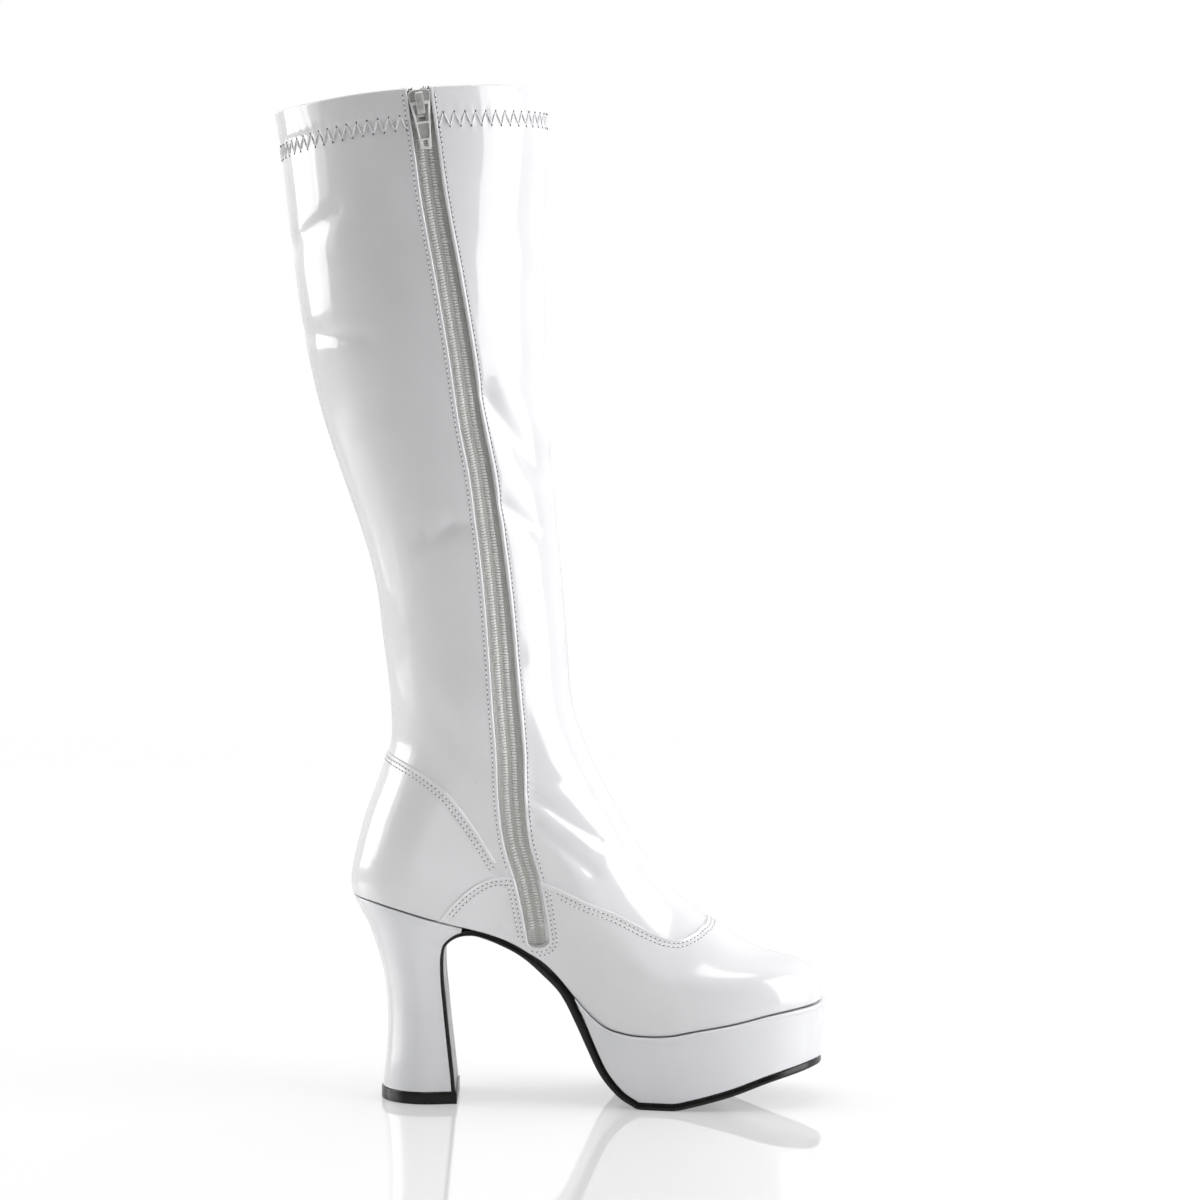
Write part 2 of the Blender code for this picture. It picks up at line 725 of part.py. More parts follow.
def make_heel(cover):
    levels = []
    for row, back, back_up, width, follow in HEEL:
        half = (HEEL_BASE_WIDTH + width * (HEEL_TOP_WIDTH - HEEL_BASE_WIDTH)) / 2
        front = sole_point(row, 2)
        levels.append(heel_ring((along(back), back_up * HEEL_HEIGHT), front, half, follow))
    tip = sole_point(HEEL_TIP, 2)[0]
    back_x = along(0)
    ends = (back_x, feather(back_x) - SEAT_GAP), (tip, feather(tip) - SEAT_GAP)
    levels.append(heel_ring(*ends, HEEL_TOP_WIDTH / 2, 1.0))
    return stack("heel", levels, cover)


def make_lift(rubber):
    back = along(HEEL[0, 1]) - LIFT_PROUD
    front = sole_point(len(SOLE) - 1)[0] + LIFT_PROUD
    half = HEEL_BASE_WIDTH / 2 + LIFT_PROUD
    levels = [heel_ring((back, z), (front, z), half, 0.0) for z in (0.0, LIFT_THICKNESS)]
    return stack("heel_lift", levels, rubber)


def slider_place():
    """The slider's frame: middle of its plate's outer face, with x across the zip to the toe,
    y up along it and z out of the boot."""
    middle, run, _ = zip_frame(1 - SLIDER_DROP / zip_height())
    level, turn = inner_side(middle[0], middle[1])
    here = shell(level, turn, 0.0)
    out = shell(level, turn, 1.0) - here
    above = middle + run * SLIDER_LENGTH / 2
    below = middle - run * SLIDER_LENGTH / 2
    ends = [surface(*inner_side(place[0], place[1])) for place in (below, above)]
    upward = ends[1] - ends[0]
    upward /= np.linalg.norm(upward)
    out -= upward * (out @ upward)
    out /= np.linalg.norm(out)
    side = np.cross(upward, out)
    face = here + out * (CHAIN_FACE + GAP + SLIDER_PLATE)
    turned = np.eye(4)
    turned[:3, 0], turned[:3, 1], turned[:3, 2], turned[:3, 3] = side, upward, out, face
    return Matrix(turned)


def prism(mesh, outline, low, high):
    """Extrudes a closed outline of x, y pairs between two heights."""
    rings = [[mesh.verts.new((x, y, z)) for x, y in outline] for z in (low, high)]
    count = len(outline)
    for i in range(count):
        n = (i + 1) % count
        mesh.faces.new([rings[0][i], rings[0][n], rings[1][n], rings[1][i]])
    for ring in rings:
        mesh.faces.new(ring)


def rounded(width_low, width_high, low, high, radius):
    """Outline of a tapered plate with round corners: widths at its lower and upper ends."""
    corners = [
        (width_high / 2 - radius, high - radius, 0),
        (-width_high / 2 + radius, high - radius, 1),
        (-width_low / 2 + radius, low + radius, 2),
        (width_low / 2 - radius, low + radius, 3),
    ]
    points = []
    for x, y, quarter in corners:
        for i in range(CORNER_STEPS + 1):
            angle = (quarter + i / CORNER_STEPS) * math.pi / 2
            points.append((x + radius * math.cos(angle), y + radius * math.sin(angle)))
    return points


def joined(piece, others, operation="UNION"):
    """Adds a Boolean to a piece for each other object, which stays hidden as its operand."""
    for other in others:
        other.hide_render = True
        other.display_type = "WIRE"
        other.matrix_world = piece.matrix_world
        change = piece.modifiers.new(other.name, "BOOLEAN")
        change.operation = operation
        change.solver = "EXACT"
        change.object = other


def make_slider(paint, place):
    mesh = bmesh.new()
    waist = SLIDER_WIDTH * SLIDER_WAIST_SHARE
    low, high = -SLIDER_LENGTH / 2, SLIDER_LENGTH / 2
    prism(mesh, rounded(waist, SLIDER_WIDTH, low, high, SLIDER_CORNER), -SLIDER_PLATE, 0)
    slider = finished("zip_slider", mesh, paint)
    slider.matrix_world = place
    reach = SLIDER_LENGTH * BRIDGE_REACH_SHARE
    turns = np.linspace(0, math.pi, ARCH_STEPS + 1)
    arch = []
    for cut in (0, BRIDGE_STRIP):
        y = (reach - cut) * np.sign(np.cos(turns)) * np.abs(np.cos(turns)) ** BRIDGE_SQUARE_SHARE
        z = (BRIDGE_RISE - cut) * np.sin(turns) ** BRIDGE_SQUARE_SHARE
        arch.append(np.column_stack([y, z]))
    outer, inner = arch
    foot = -SLIDER_PLATE / 2
    outline = [(outer[0][0], foot), *outer[1:-1], (outer[-1][0], foot)]
    outline += [(inner[-1][0], foot), *inner[-2:0:-1], (inner[0][0], foot)]
    bridge_mesh = bmesh.new()
    prism(bridge_mesh, outline, -BRIDGE_WIDTH / 2, BRIDGE_WIDTH / 2)
    turned = Matrix(((0, 0, 1, 0), (1, 0, 0, 0), (0, 1, 0, 0), (0, 0, 0, 1)))
    bmesh.ops.transform(bridge_mesh, matrix=turned, verts=bridge_mesh.verts)
    bridge = finished("slider_bridge", bridge_mesh)
    joined(slider, [bridge])
    return slider


def make_pull(paint, place):
    """The pull tab: origin on its cross bar's axis, hanging down from it."""
    reach = math.hypot(SLIDER_LENGTH * BRIDGE_REACH_SHARE, BRIDGE_RISE) + 2 * PIN_CLEARANCE
    bar = PULL_PIN / 2
    mesh = bmesh.new()
    outline = rounded(PULL_END_WIDTH, PULL_TOP_WIDTH, bar - PULL_LENGTH, bar, PULL_CORNER)
    prism(mesh, outline, -PULL_THICKNESS / 2, PULL_THICKNESS / 2)
    pull = finished("zip_pull", mesh, paint)
    pull.matrix_world = place @ Matrix.Translation((0, 0, PIN_HEIGHT))
    bridge_window = BRIDGE_WIDTH + 2 * WINDOW_CLEARANCE
    lower = -reach - PULL_END_WIDTH / 2
    slots = [
        ("pull_bridge_window", bridge_window, -reach, -bar),
        ("pull_grip_window", GRIP_WINDOW_WIDTH, lower - GRIP_WINDOW_LENGTH, lower),
    ]
    cutters = []
    for name, width, low, high in slots:
        cutter_mesh = bmesh.new()
        outline = rounded(width, width, low, high, WINDOW_CORNER)
        prism(cutter_mesh, outline, -PULL_THICKNESS, PULL_THICKNESS)
        cutters.append(finished(name, cutter_mesh))
    joined(pull, cutters, "DIFFERENCE")
    return pull


def main():
    for old in list(bpy.data.objects):
        bpy.data.objects.remove(old)
    patent = material("white_patent", (0.86, 0.86, 0.87), 0.12, coat=1.0)
    rubber = material("black_sole", (0.012, 0.012, 0.013), 0.15, coat=0.6)
    lining = material("lining", (0.80, 0.79, 0.76), 0.75)
    woven = material("zip_tape_white", (0.74, 0.74, 0.72), 0.80)
    coil = material("zip_coil_white", (0.80, 0.80, 0.78), 0.45)
    paint = material("painted_zip_metal", (0.66, 0.66, 0.65), 0.35, metallic=0.2)
    make_upper(patent)
    make_insole(lining)
    make_platform(patent)
    make_outsole(rubber)
    make_heel(patent)
    make_lift(rubber)
    tape_ends = (-SLOT_WIDTH / 2, zip_height() - TAPE_DROP)
    chain_ends = (SLOT_WIDTH / 3, zip_height() - SLIDER_DROP + SLIDER_LENGTH / 2)
    zip_strip("zip_tape", tape_ends, TAPE_WIDTH, TAPE_FACE, TAPE_THICKNESS, 7, woven)
    zip_strip("zip_chain", chain_ends, CHAIN_WIDTH, CHAIN_FACE, CHAIN_THICKNESS, 3, coil)
    place = slider_place()
    make_slider(paint, place)
    make_pull(paint, place)


main()
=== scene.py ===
"""Looks of the left knee-high platform boot: patent panels with folded edges and stitching, a coil
zip with its painted slider, a wrapped platform and heel, and a glossy black sole.

Metres, in the frame's own axes: +X runs to the toe, +Z up, and -Y is the inner side with the zip.
The forms follow the same sizes and tables as the solids, at a finer pitch.
"""

import math

import bmesh
import bpy
import numpy as np
from mathutils import Matrix, Vector


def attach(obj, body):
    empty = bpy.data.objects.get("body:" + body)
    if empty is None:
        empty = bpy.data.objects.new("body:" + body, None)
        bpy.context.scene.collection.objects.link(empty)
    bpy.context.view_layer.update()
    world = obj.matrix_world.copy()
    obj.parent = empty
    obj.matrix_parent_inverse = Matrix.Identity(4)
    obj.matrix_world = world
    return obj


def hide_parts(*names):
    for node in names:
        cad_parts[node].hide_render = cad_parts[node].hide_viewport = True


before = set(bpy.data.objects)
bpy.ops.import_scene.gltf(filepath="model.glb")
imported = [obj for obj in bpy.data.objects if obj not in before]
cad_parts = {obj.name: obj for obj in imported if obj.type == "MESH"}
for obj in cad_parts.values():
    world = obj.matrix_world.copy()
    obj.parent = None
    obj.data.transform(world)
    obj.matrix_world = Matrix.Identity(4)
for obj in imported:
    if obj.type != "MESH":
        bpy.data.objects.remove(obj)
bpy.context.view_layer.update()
MM = 0.001

# Sizes of the foot, the shaft and the walls
LAST_LENGTH = 0.2227
HEEL_CURVE = 0.0310
HEEL_HEIGHT = 0.0988
BALL_HEIGHT = 0.0353
TOE_HEIGHT = 0.0483
SEAT_WIDTH = 0.0600
WAIST_WIDTH = 0.0600
BALL_WIDTH = 0.0820
ANKLE_HEIGHT = 0.1960
ANKLE_PLACE = 0.0299
ANKLE_DEPTH = 0.0888
ANKLE_WIDTH = 0.0700
SHAFT_LENGTH = 0.2780
COLLAR_DEPTH = 0.1262
COLLAR_WIDTH = 0.1010
WALL = 0.0018
GAP = 0.0003
SEAT_GAP = 0.0005

# Sole and heel
SOLE_THICKNESS = 0.0032
SOLE_TOE_SPRING = 0.0184
PLATFORM_PROUD = 0.0027
SOLE_PROUD = 0.0012
HEEL_BASE_WIDTH = 0.0436
HEEL_TOP_WIDTH = 0.0578
LIFT_THICKNESS = 0.0058
LIFT_PROUD = 0.0007

# Zip
ZIP_BOTTOM = 0.0762
SLOT_WIDTH = 0.0104
TAPE_CLEARANCE = 0.0004
TAPE_DROP = 0.001
CHAIN_THICKNESS = 0.0013
SLIDER_WIDTH = 0.0106
SLIDER_LENGTH = 0.0126
SLIDER_PLATE = 0.0012
SLIDER_CORNER = 0.0016
SLIDER_DROP = 0.0066
SLIDER_WAIST_SHARE = 0.78
BRIDGE_WIDTH = 0.0036
BRIDGE_STRIP = 0.0009
BRIDGE_REACH_SHARE = 0.42
PULL_PIN = 0.0013
PIN_CLEARANCE = 0.0004
PULL_LENGTH = 0.0220
PULL_TOP_WIDTH = 0.0088
PULL_END_WIDTH = 0.0048
PULL_THICKNESS = 0.0011

TAPE_FACE = -(WALL + TAPE_CLEARANCE)
LINING_FACE = -0.0031
CHAIN_FACE = TAPE_FACE + GAP + CHAIN_THICKNESS
BRIDGE_RISE = PULL_PIN + 2 * PIN_CLEARANCE + BRIDGE_STRIP
PIN_HEIGHT = PIN_CLEARANCE + PULL_PIN / 2
SEAT_SHARE, WAIST_SHARE, BALL_SHARE = 0.15, 0.42, 0.72
TIP_SHARE = 0.05
HEEL_ROUND_SHARE = 0.62
HEEL_FRONT_SHARE = 0.93

# Floor line of the last: along the last, share of the heel's rise, share of the toe's rise
FEATHER = np.array([
    (0, 1, 0), (0.049, 0.97, 0), (0.108, 0.915, 0), (0.162, 0.858, 0), (0.211, 0.814, 0),
    (0.256, 0.776, 0), (0.296, 0.736, 0), (0.337, 0.679, 0), (0.377, 0.598, 0), (0.409, 0.524, 0),
    (0.44, 0.42, 0), (0.472, 0.287, 0), (0.503, 0.161, 0), (0.539, 0.058, 0), (0.579, 0.014, 0),
    (0.633, 0, 0), (0.678, 0, 0.055), (0.723, 0, 0.215), (0.808, 0, 0.477), (0.894, 0, 0.79),
    (0.948, 0, 0.915), (1, 0, 1),
])

# Rings of the foot, from the floor line up
FOOT = np.array([
    # back, back_up, front, front_up, follow, seat, waist, ball, back_round, front_round
    (0, 0, 1, 0, 1, 0.92, 0.9, 0.975, 0.14, 0.27),
    (-0.0027, 0.074, 1, 0.038, 1, 0.97, 0.93, 1, 0.14, 0.275),
    (0.0036, 0.155, 0.9834, 0.096, 0.95, 1, 0.97, 1, 0.145, 0.29),
    (0.0139, 0.244, 0.9385, 0.134, 0.9, 1.02, 1, 0.975, 0.15, 0.31),
    (0.0305, 0.368, 0.8554, 0.177, 0.8, 1.02, 1.03, 0.89, 0.16, 0.36),
    (0.0521, 0.488, 0.7499, 0.287, 0.65, 1.02, 1.05, 0.8, 0.19, 0.4),
    (0.0692, 0.59, 0.6803, 0.385, 0.5, 1.03, 1.08, 0.755, 0.24, 0.43),
    (0.0813, 0.686, 0.6138, 0.519, 0.35, 1.06, 1.11, 0.755, 0.31, 0.455),
    (0.0826, 0.784, 0.5627, 0.664, 0.2, 1.09, 1.13, 0.78, 0.38, 0.475),
    (0.0795, 0.892, 0.5155, 0.811, 0.1, 1.12, 1.15, 0.805, 0.44, 0.49),
])

# Rings of the shaft, from the ankle up
SHAFT = np.array([
    # up, lean, depth, width, tilt, crown
    (0, 0, 0, 0, -0.15, 0),
    (0.081, -0.021, -0.008, 0.03, -0.103, 0),
    (0.187, -0.046, 0.04, 0.16, -0.079, 0),
    (0.32, -0.103, 0.249, 0.39, -0.061, 0),
    (0.473, -0.17, 0.508, 0.645, -0.024, 0),
    (0.633, -0.213, 0.695, 0.87, 0, 0),
    (0.817, -0.237, 0.866, 0.97, 0.026, 0),
    (0.941, -0.246, 1, 1, 0.057, 0.01),
    (1, -0.265, 1, 1, 0.095, 0.028),
])

# Sideways curve of the last's middle: along the last, share of the ball width to the outside
SWING = np.array([(0, 0), (0.4, 0.018), (0.7, 0.018), (0.9, -0.02), (1, -0.048)])

# Upper edges of the counter and the vamp: along the last, and up from the ball to the ankle
COUNTER_SEAM = np.array([
    (0.074, 0.82), (0.113, 0.799), (0.163, 0.762), (0.208, 0.713), (0.256, 0.627), (0.304, 0.52),
    (0.35, 0.412),
])
VAMP_SEAM = np.array([
    (0.182, 0.33), (0.214, 0.385), (0.256, 0.437), (0.297, 0.465), (0.344, 0.466), (0.406, 0.451),
    (0.505, 0.391), (0.565, 0.356), (0.625, 0.31), (0.67, 0.282), (0.694, 0.277), (0.719, 0.286),
    (0.74, 0.302), (0.761, 0.338), (0.767, 0.38),
])

# Underside of the sole, from the toe tip to the foot of the heel's breast: along the last,
# share of the heel height, share of the sole's toe spring, share of the sole's thickness
SOLE = np.array([
    (1, 0, 1, 0.85), (0.969, 0, 0.95, 1), (0.885, 0, 0.706, 1), (0.804, 0, 0.374, 1),
    (0.725, 0, 0.11, 1), (0.68, 0, 0, 1), (0.615, 0, 0, 1), (0.595, 0.016, 0, 1),
    (0.564, 0.062, 0, 1.05), (0.528, 0.158, 0, 1.15), (0.499, 0.291, 0, 1.2), (0.478, 0.395, 0, 1.3),
    (0.445, 0.54, 0, 1.45), (0.402, 0.644, 0, 1.45), (0.361, 0.724, 0, 1.1), (0.318, 0.778, 0, 0.95),
    (0.275, 0.817, 0, 0.8), (0.251, 0.826, 0, 0.62), (0.227, 0.818, 0, 0.42), (0.206, 0.785, 0, 0.4),
    (0.196, 0.734, 0, 0.42), (0.196, 0.607, 0, 0.45), (0.201, 0.486, 0, 0.5), (0.206, 0.364, 0, 0.5),
    (0.2155, 0.162, 0, 0.5), (0.2195, 0.0618, 0, 0.5),
])
PLATFORM_REAR = 11.7
HEEL_TIP = 17.6
BREAST_ROWS = 2.5

# Rings of the heel, from the lift up
HEEL = np.array([
    # sole_row, back, back_up, width, follow
    (25, 0.061, 0.0618, 0, 0),
    (24.5, 0.066, 0.153, -0.09, 0),
    (24, 0.07, 0.263, -0.15, 0),
    (23, 0.072, 0.381, -0.18, 0),
    (22, 0.07, 0.5, -0.14, 0),
    (21, 0.062, 0.63, 0, 0.1),
    (20, 0.047, 0.749, 0.28, 0.2),
    (19.4, 0.031, 0.849, 0.58, 0.4),
    (18.8, 0.016, 0.915, 0.8, 0.6),
    (18.1, 0.007, 0.957, 0.93, 0.8),
])

# Rows of the platform's side, from the bottom up: share of its height, drop from there and how
# far it stands proud, both millimetres
PLATFORM_SIDE = np.array([
    (0, 0, -0.5), (0, -0.15, -0.15), (0, -0.5, 0), (0.15, 0, 0.1), (0.35, 0, 0.2), (0.55, 0, 0.2),
    (0.75, 0, 0.1), (1, 3.2, 0), (1, 2.4, 0), (1, 1.9, 0.08), (1, 1.5, 0.35), (1, 1.1, 0.55),
    (1, 0.7, 0.62), (1, 0.35, 0.5), (1, 0.1, 0.15), (1, 0, -0.5), (1, 0.05, -2.5),
])

# The zip's middle line: up from its lower end to the collar, along the last
ZIP_LINE = np.array([
    (0, 0.4005), (0.045, 0.388), (0.078, 0.3759), (0.12, 0.354), (0.171, 0.3422), (0.229, 0.3381),
    (0.3, 0.3282), (0.354, 0.3211), (0.447, 0.3058), (0.506, 0.2923), (0.565, 0.2775), (0.608, 0.2622),
    (0.701, 0.2375), (0.786, 0.212), (0.88, 0.1819), (0.937, 0.1684), (1, 0.1527),
])

# Half width of the slot that shows the zip: up it, millimetres
SLOT_HALF = np.array([(0, 5), (0.12, 5.7), (0.22, 6.1), (0.34, 5.9), (0.5, 5.4), (0.8, 5.3), (1, 5.1)])
SLOT_ROUND = 0.0034  # height of the slot's rounded lower end

# Creases of the sheet: side (-1 inner, 1 outer), from along and up, to along and up, half width
# and how far it stands out, both millimetres. Along is a share of the last, up one of the zip.
CREASES = np.array([
    (-1, 0.289, 0.648, 0.389, 0.564, 4.5, -1.6),
    (-1, 0.325, 0.672, 0.42, 0.592, 4.5, 0.7),
    (-1, 0.326, 0.521, 0.397, 0.489, 4, -1.3),
    (-1, 0.33, 0.556, 0.415, 0.528, 4.5, 0.4),
    (-1, 0.328, 0.48, 0.355, 0.344, 6, -0.5),
    (-1, 0.355, 0.344, 0.393, 0.176, 6, -0.5),
    (-1, 0.15, 0.474, 0.216, 0.499, 4, -0.7),
    (-1, 0.216, 0.499, 0.268, 0.503, 4, -0.6),
    (-1, 0.383, 0.182, 0.528, 0.124, 3.4, -1.2),
    (-1, 0.386, 0.205, 0.507, 0.185, 4.2, -0.8),
    (-1, 0.391, 0.146, 0.516, 0.089, 3.2, -0.9),
    (-1, 0.4, 0.165, 0.545, 0.108, 3, 0.4),
    (-1, 0.32, 0.025, 0.405, -0.002, 1.6, 0.5),
    (-1, -0.15, 0.808, -0.02, 0.862, 4.4, -0.8),
    (-1, -0.13, 0.722, 0.04, 0.716, 4, -0.6),
    (-1, 0.03, 0.6, 0.11, 0.63, 5, -0.4),
    (-1, 0.42, 0.9, 0.33, 0.8, 7, -0.5),
    (-1, 0.17, 0.3, 0.23, 0.24, 6, -0.4),
    (1, 0.3, 0.66, 0.42, 0.56, 5, -1),
    (1, 0.06, 0.47, 0.22, 0.51, 4.5, -0.7),
    (1, 0.37, 0.19, 0.528, 0.124, 3.8, -0.9),
    (1, 0.36, 0.225, 0.507, 0.185, 4.6, -0.5),
    (1, 0.35, 0.13, 0.5, 0.08, 4, -0.6),
    (1, -0.08, 0.82, 0.06, 0.8, 5, -0.6),
    (1, 0.25, 0.86, 0.4, 0.82, 7, -0.5),
    (1, 0.18, 0.33, 0.3, 0.26, 6, -0.4),
])
HEM_DROP = 0.0140  # how far under the collar the hem is sewn
HEM_HALF = 0.0033
HEM_PITCH = 0.0052
HEM_PUCKERS = 70
ZIP_CROWN = 0.0015  # the leg's sheet stands out by this much along the zip
ZIP_CROWN_HALF = 0.0160
ZIP_CROWN_FOOT = 0.1  # height where the crown starts
ZIP_CROWN_RISE = 0.06
PUCKER_HEIGHT = 0.00016
HEM_SINK = 0.0003  # the hem's threads pull the sheet in by this much
HEM_STEP = 0.00025  # the doubled sheet over the hem stands out by this much

# Height of the tape's face against the distance from its middle, both millimetres
TAPE_RIB = np.array([(0, 0), (1.2, 0), (1.6, 0.35), (2.2, 0.55), (2.8, 0.35), (3.3, 0), (12, 0)])

# One turn of the coil: across the zip, height over the tape and up it, millimetres
COIL_TURN = np.array([
    (3.05, 0, -0.1), (2.85, 0.55, -0.1), (2.25, 0.95, 0), (1.7, 0.62, 0.1), (1.4, 0.1, 0.1),
])
COIL_PITCH = 0.00138

# How far a panel stands out against the distance in from its folded edge, both millimetres
SLOT_FOLD = np.array([
    (0, -0.6), (0.06, -0.32), (0.18, -0.08), (0.38, 0.1), (0.7, 0.2), (1.1, 0.16), (1.6, 0), (2, -0.1),
    (2.4, 0), (3.2, 0.05), (5, 0),
])
PANEL_FOLD = np.array([
    (0, 0), (0.05, 0.4), (0.15, 0.75), (0.35, 1.05), (0.7, 1.25), (1.1, 1.25), (1.7, 1.05),
    (2.15, 0.82), (2.4, 0.76), (2.7, 0.84), (3.35, 0.96), (4, 0.82), (4.3, 0.76), (4.65, 0.84),
    (5.6, 0.94), (8, 0.9),
])
SLOT_ROWS = 0.0021, 0.0040  # distances of the rows of stitches from the folded edges
PANEL_ROWS = ("upper", 0.0024), ("lower", 0.0043)
STITCH = 0.0023
COUNTER_DROP = 0.0003  # the counter lies this much lower than the vamp, which laps over it


def smooth(rows, at):
    """The later columns of a table on a smooth curve, at places on its first column."""
    at = np.asarray(at, float)
    places, values = rows[:, 0], rows[:, 1:]
    slopes = np.gradient(values, places, axis=0)
    inside = np.clip(at, places[0], places[-1])
    left = np.clip(np.searchsorted(places, inside, side="right") - 1, 0, len(places) - 2)
    span = (places[left + 1] - places[left])[..., None]
    t = (inside - places[left])[..., None] / span
    value = (
        (2 * t**3 - 3 * t**2 + 1) * values[left]
        + (t**3 - 2 * t**2 + t) * span * slopes[left]
        + (3 * t**2 - 2 * t**3) * values[left + 1]
        + (t**3 - t**2) * span * slopes[left + 1]
    )
    nearest = np.where(t < 0.5, slopes[left], slopes[left + 1])
    return value + (at - inside)[..., None] * nearest


def along(share):
    return share * LAST_LENGTH - HEEL_CURVE


def along_share(x):
    return (x + HEEL_CURVE) / LAST_LENGTH


def feather(x):
    """Height of the last's floor line."""
    heel, toe = np.moveaxis(smooth(FEATHER, along_share(x)), -1, 0)
    return BALL_HEIGHT + heel * (HEEL_HEIGHT - BALL_HEIGHT) + toe * (TOE_HEIGHT - BALL_HEIGHT)


def ring_table():
    """Rows of metres: back x and z, front x and z, follow, crown, half widths, two rounds."""
    up, lean, depth, width, tilt, crown = SHAFT.T
    middle = ANKLE_PLACE + lean * COLLAR_DEPTH
    half_depth = (ANKLE_DEPTH + depth * (COLLAR_DEPTH - ANKLE_DEPTH)) / 2
    half_width = (ANKLE_WIDTH + width * (COLLAR_WIDTH - ANKLE_WIDTH)) / 2
    height = ANKLE_HEIGHT + up * SHAFT_LENGTH
    half_tilt = tilt * COLLAR_DEPTH / 2
    shaft = [middle - half_depth, height - half_tilt, middle + half_depth, height + half_tilt]
    shaft += [0 * up, crown * COLLAR_DEPTH, half_width, half_width, half_width]
    shaft += [0 * up + 0.5, 0 * up + 0.5]
    back, back_up, front, front_up, follow, seat, waist, ball, back_round, front_round = FOOT.T
    foot = [along(back), HEEL_HEIGHT + back_up * (shaft[1][0] - HEEL_HEIGHT)]
    foot += [along(front), TOE_HEIGHT + front_up * (shaft[3][0] - TOE_HEIGHT), follow, 0 * follow]
    foot += [seat * SEAT_WIDTH / 2, waist * WAIST_WIDTH / 2, ball * BALL_WIDTH / 2]
    foot += [back_round, front_round]
    rings = np.vstack([np.column_stack(foot), np.column_stack(shaft)])
    return np.column_stack([np.linspace(0, 1, len(rings)), rings])


def eased(rows, at):
    """As smooth, on a curve whose bend is even too, so that gloss shows no kink at a row."""
    places, values = rows[:, 0], rows[:, 1:]
    count = len(places)
    step = places[1] - places[0]
    bends = np.zeros_like(values)
    middle = 4 * np.eye(count - 2) + np.eye(count - 2, k=1) + np.eye(count - 2, k=-1)
    bends[1:-1] = np.linalg.solve(middle, 6 * np.diff(values, 2, axis=0) / step**2)
    at = np.clip(np.asarray(at, float), places[0], places[-1])
    left = np.clip(((at - places[0]) / step).astype(int), 0, count - 2)
    t = ((at - places[left]) / step)[..., None]
    rest = 1 - t
    curve = ((rest**3 - rest) * bends[left] + (t**3 - t) * bends[left + 1]) * step**2 / 6
    return rest * values[left] + t * values[left + 1] + curve


def collar_height(x):
    back_x, back_z, front_x, front_z, _, crown = RINGS[-1, 1:7]
    share = np.clip((x - back_x) / (front_x - back_x), 0, 1)
    return back_z + share * (front_z - back_z) + crown * 4 * share * (1 - share)


RINGS = ring_table()
ZIP_HEIGHT = collar_height(along(ZIP_LINE[-1, 1])) - ZIP_BOTTOM  # from the slot's lower end


def ease(t):
    t = np.clip(t, 0, 1)
    return t * t * (3 - 2 * t)


def round_end(t):
    """A quarter circle from 0 to 1."""
    return np.sqrt(np.maximum(1 - (1 - np.clip(t, 0, 1)) ** 2, 0))


def bend_of(x, back_x, front_x, share):
    """How far the floor line lies over the straight line between two of its places."""
    return feather(x) - feather(back_x) * (1 - share) - feather(front_x) * share


def ring_at(level, share):
    """x, z, half width and sideways shift of the ring at a level, at a share of its length."""
    row = np.moveaxis(eased(RINGS, level), -1, 0)
    back_x, back_z, front_x, front_z, follow, crown = row[:6]
    seat, waist, ball, back_round, front_round = row[6:]
    x = back_x + (front_x - back_x) * share
    z = back_z + (front_z - back_z) * share + follow * bend_of(x, back_x, front_x, share)
    z = z + crown * 4 * share * (1 - share)
    half = seat + (waist - seat) * ease((share - SEAT_SHARE) / (WAIST_SHARE - SEAT_SHARE))
    half = half + (ball - waist) * ease((share - WAIST_SHARE) / (BALL_SHARE - WAIST_SHARE))
    half = half * round_end(share / back_round) * round_end((1 - share) / front_round)
    shift = follow * BALL_WIDTH * smooth(SWING, along_share(x))[..., 0]
    return x, z, half, shift


def surface(level, turn):
    """Points of the shaft's outer face. Turn 0 is the back, pi the front, past pi the inner side."""
    share = (1 - np.cos(turn)) / 2
    x, z, half, shift = ring_at(level, share)
    y = np.where(np.sin(turn) >= 0, half, -half) + shift
    return np.stack([x, y, z], axis=-1)


def unit(vectors):
    return vectors / np.linalg.norm(vectors, axis=-1, keepdims=True)


def slopes_at(level, turn):
    """How a point of the outer face moves with level and with turn."""
    step = 1e-4
    level, turn = np.broadcast_arrays(level, turn)
    high, low = np.minimum(level + step, 1), np.maximum(level - step, 0)
    rise = (surface(high, turn) - surface(low, turn)) / (high - low)[..., None]
    sweep = (surface(level, turn + step) - surface(level, turn - step)) / (2 * step)
    return rise, sweep


def normal_at(level, turn):
    return unit(np.cross(*slopes_at(level, turn)))


def shell(level, turn, out):
    """Points that lie a distance out from the shaft's outer face, along its normal."""
    return surface(level, turn) + normal_at(level, turn) * np.asarray(out)[..., None]


def seam_at(seam, x):
    """Height of a panel's upper edge."""
    return BALL_HEIGHT + smooth(seam, along_share(x))[..., 0] * (ANKLE_HEIGHT - BALL_HEIGHT)


def counter_height(x):
    return seam_at(COUNTER_SEAM, x)


def vamp_height(x):
    return seam_at(VAMP_SEAM, x)


def bisect(above, shape):
    """The level, for each place, where a test turns from false to true."""
    low, high = np.zeros(shape), np.ones(shape)
    for _ in range(32):
        middle = (low + high) / 2
        over = above(middle)
        high = np.where(over, middle, high)
        low = np.where(over, low, middle)
    return (low + high) / 2


def level_under(height, turn):
    """The level where each turn's line passes a height that depends on x."""

    def above(level):
        points = surface(level, turn)
        return points[..., 2] > height(points[..., 0])

    return bisect(above, np.shape(turn))


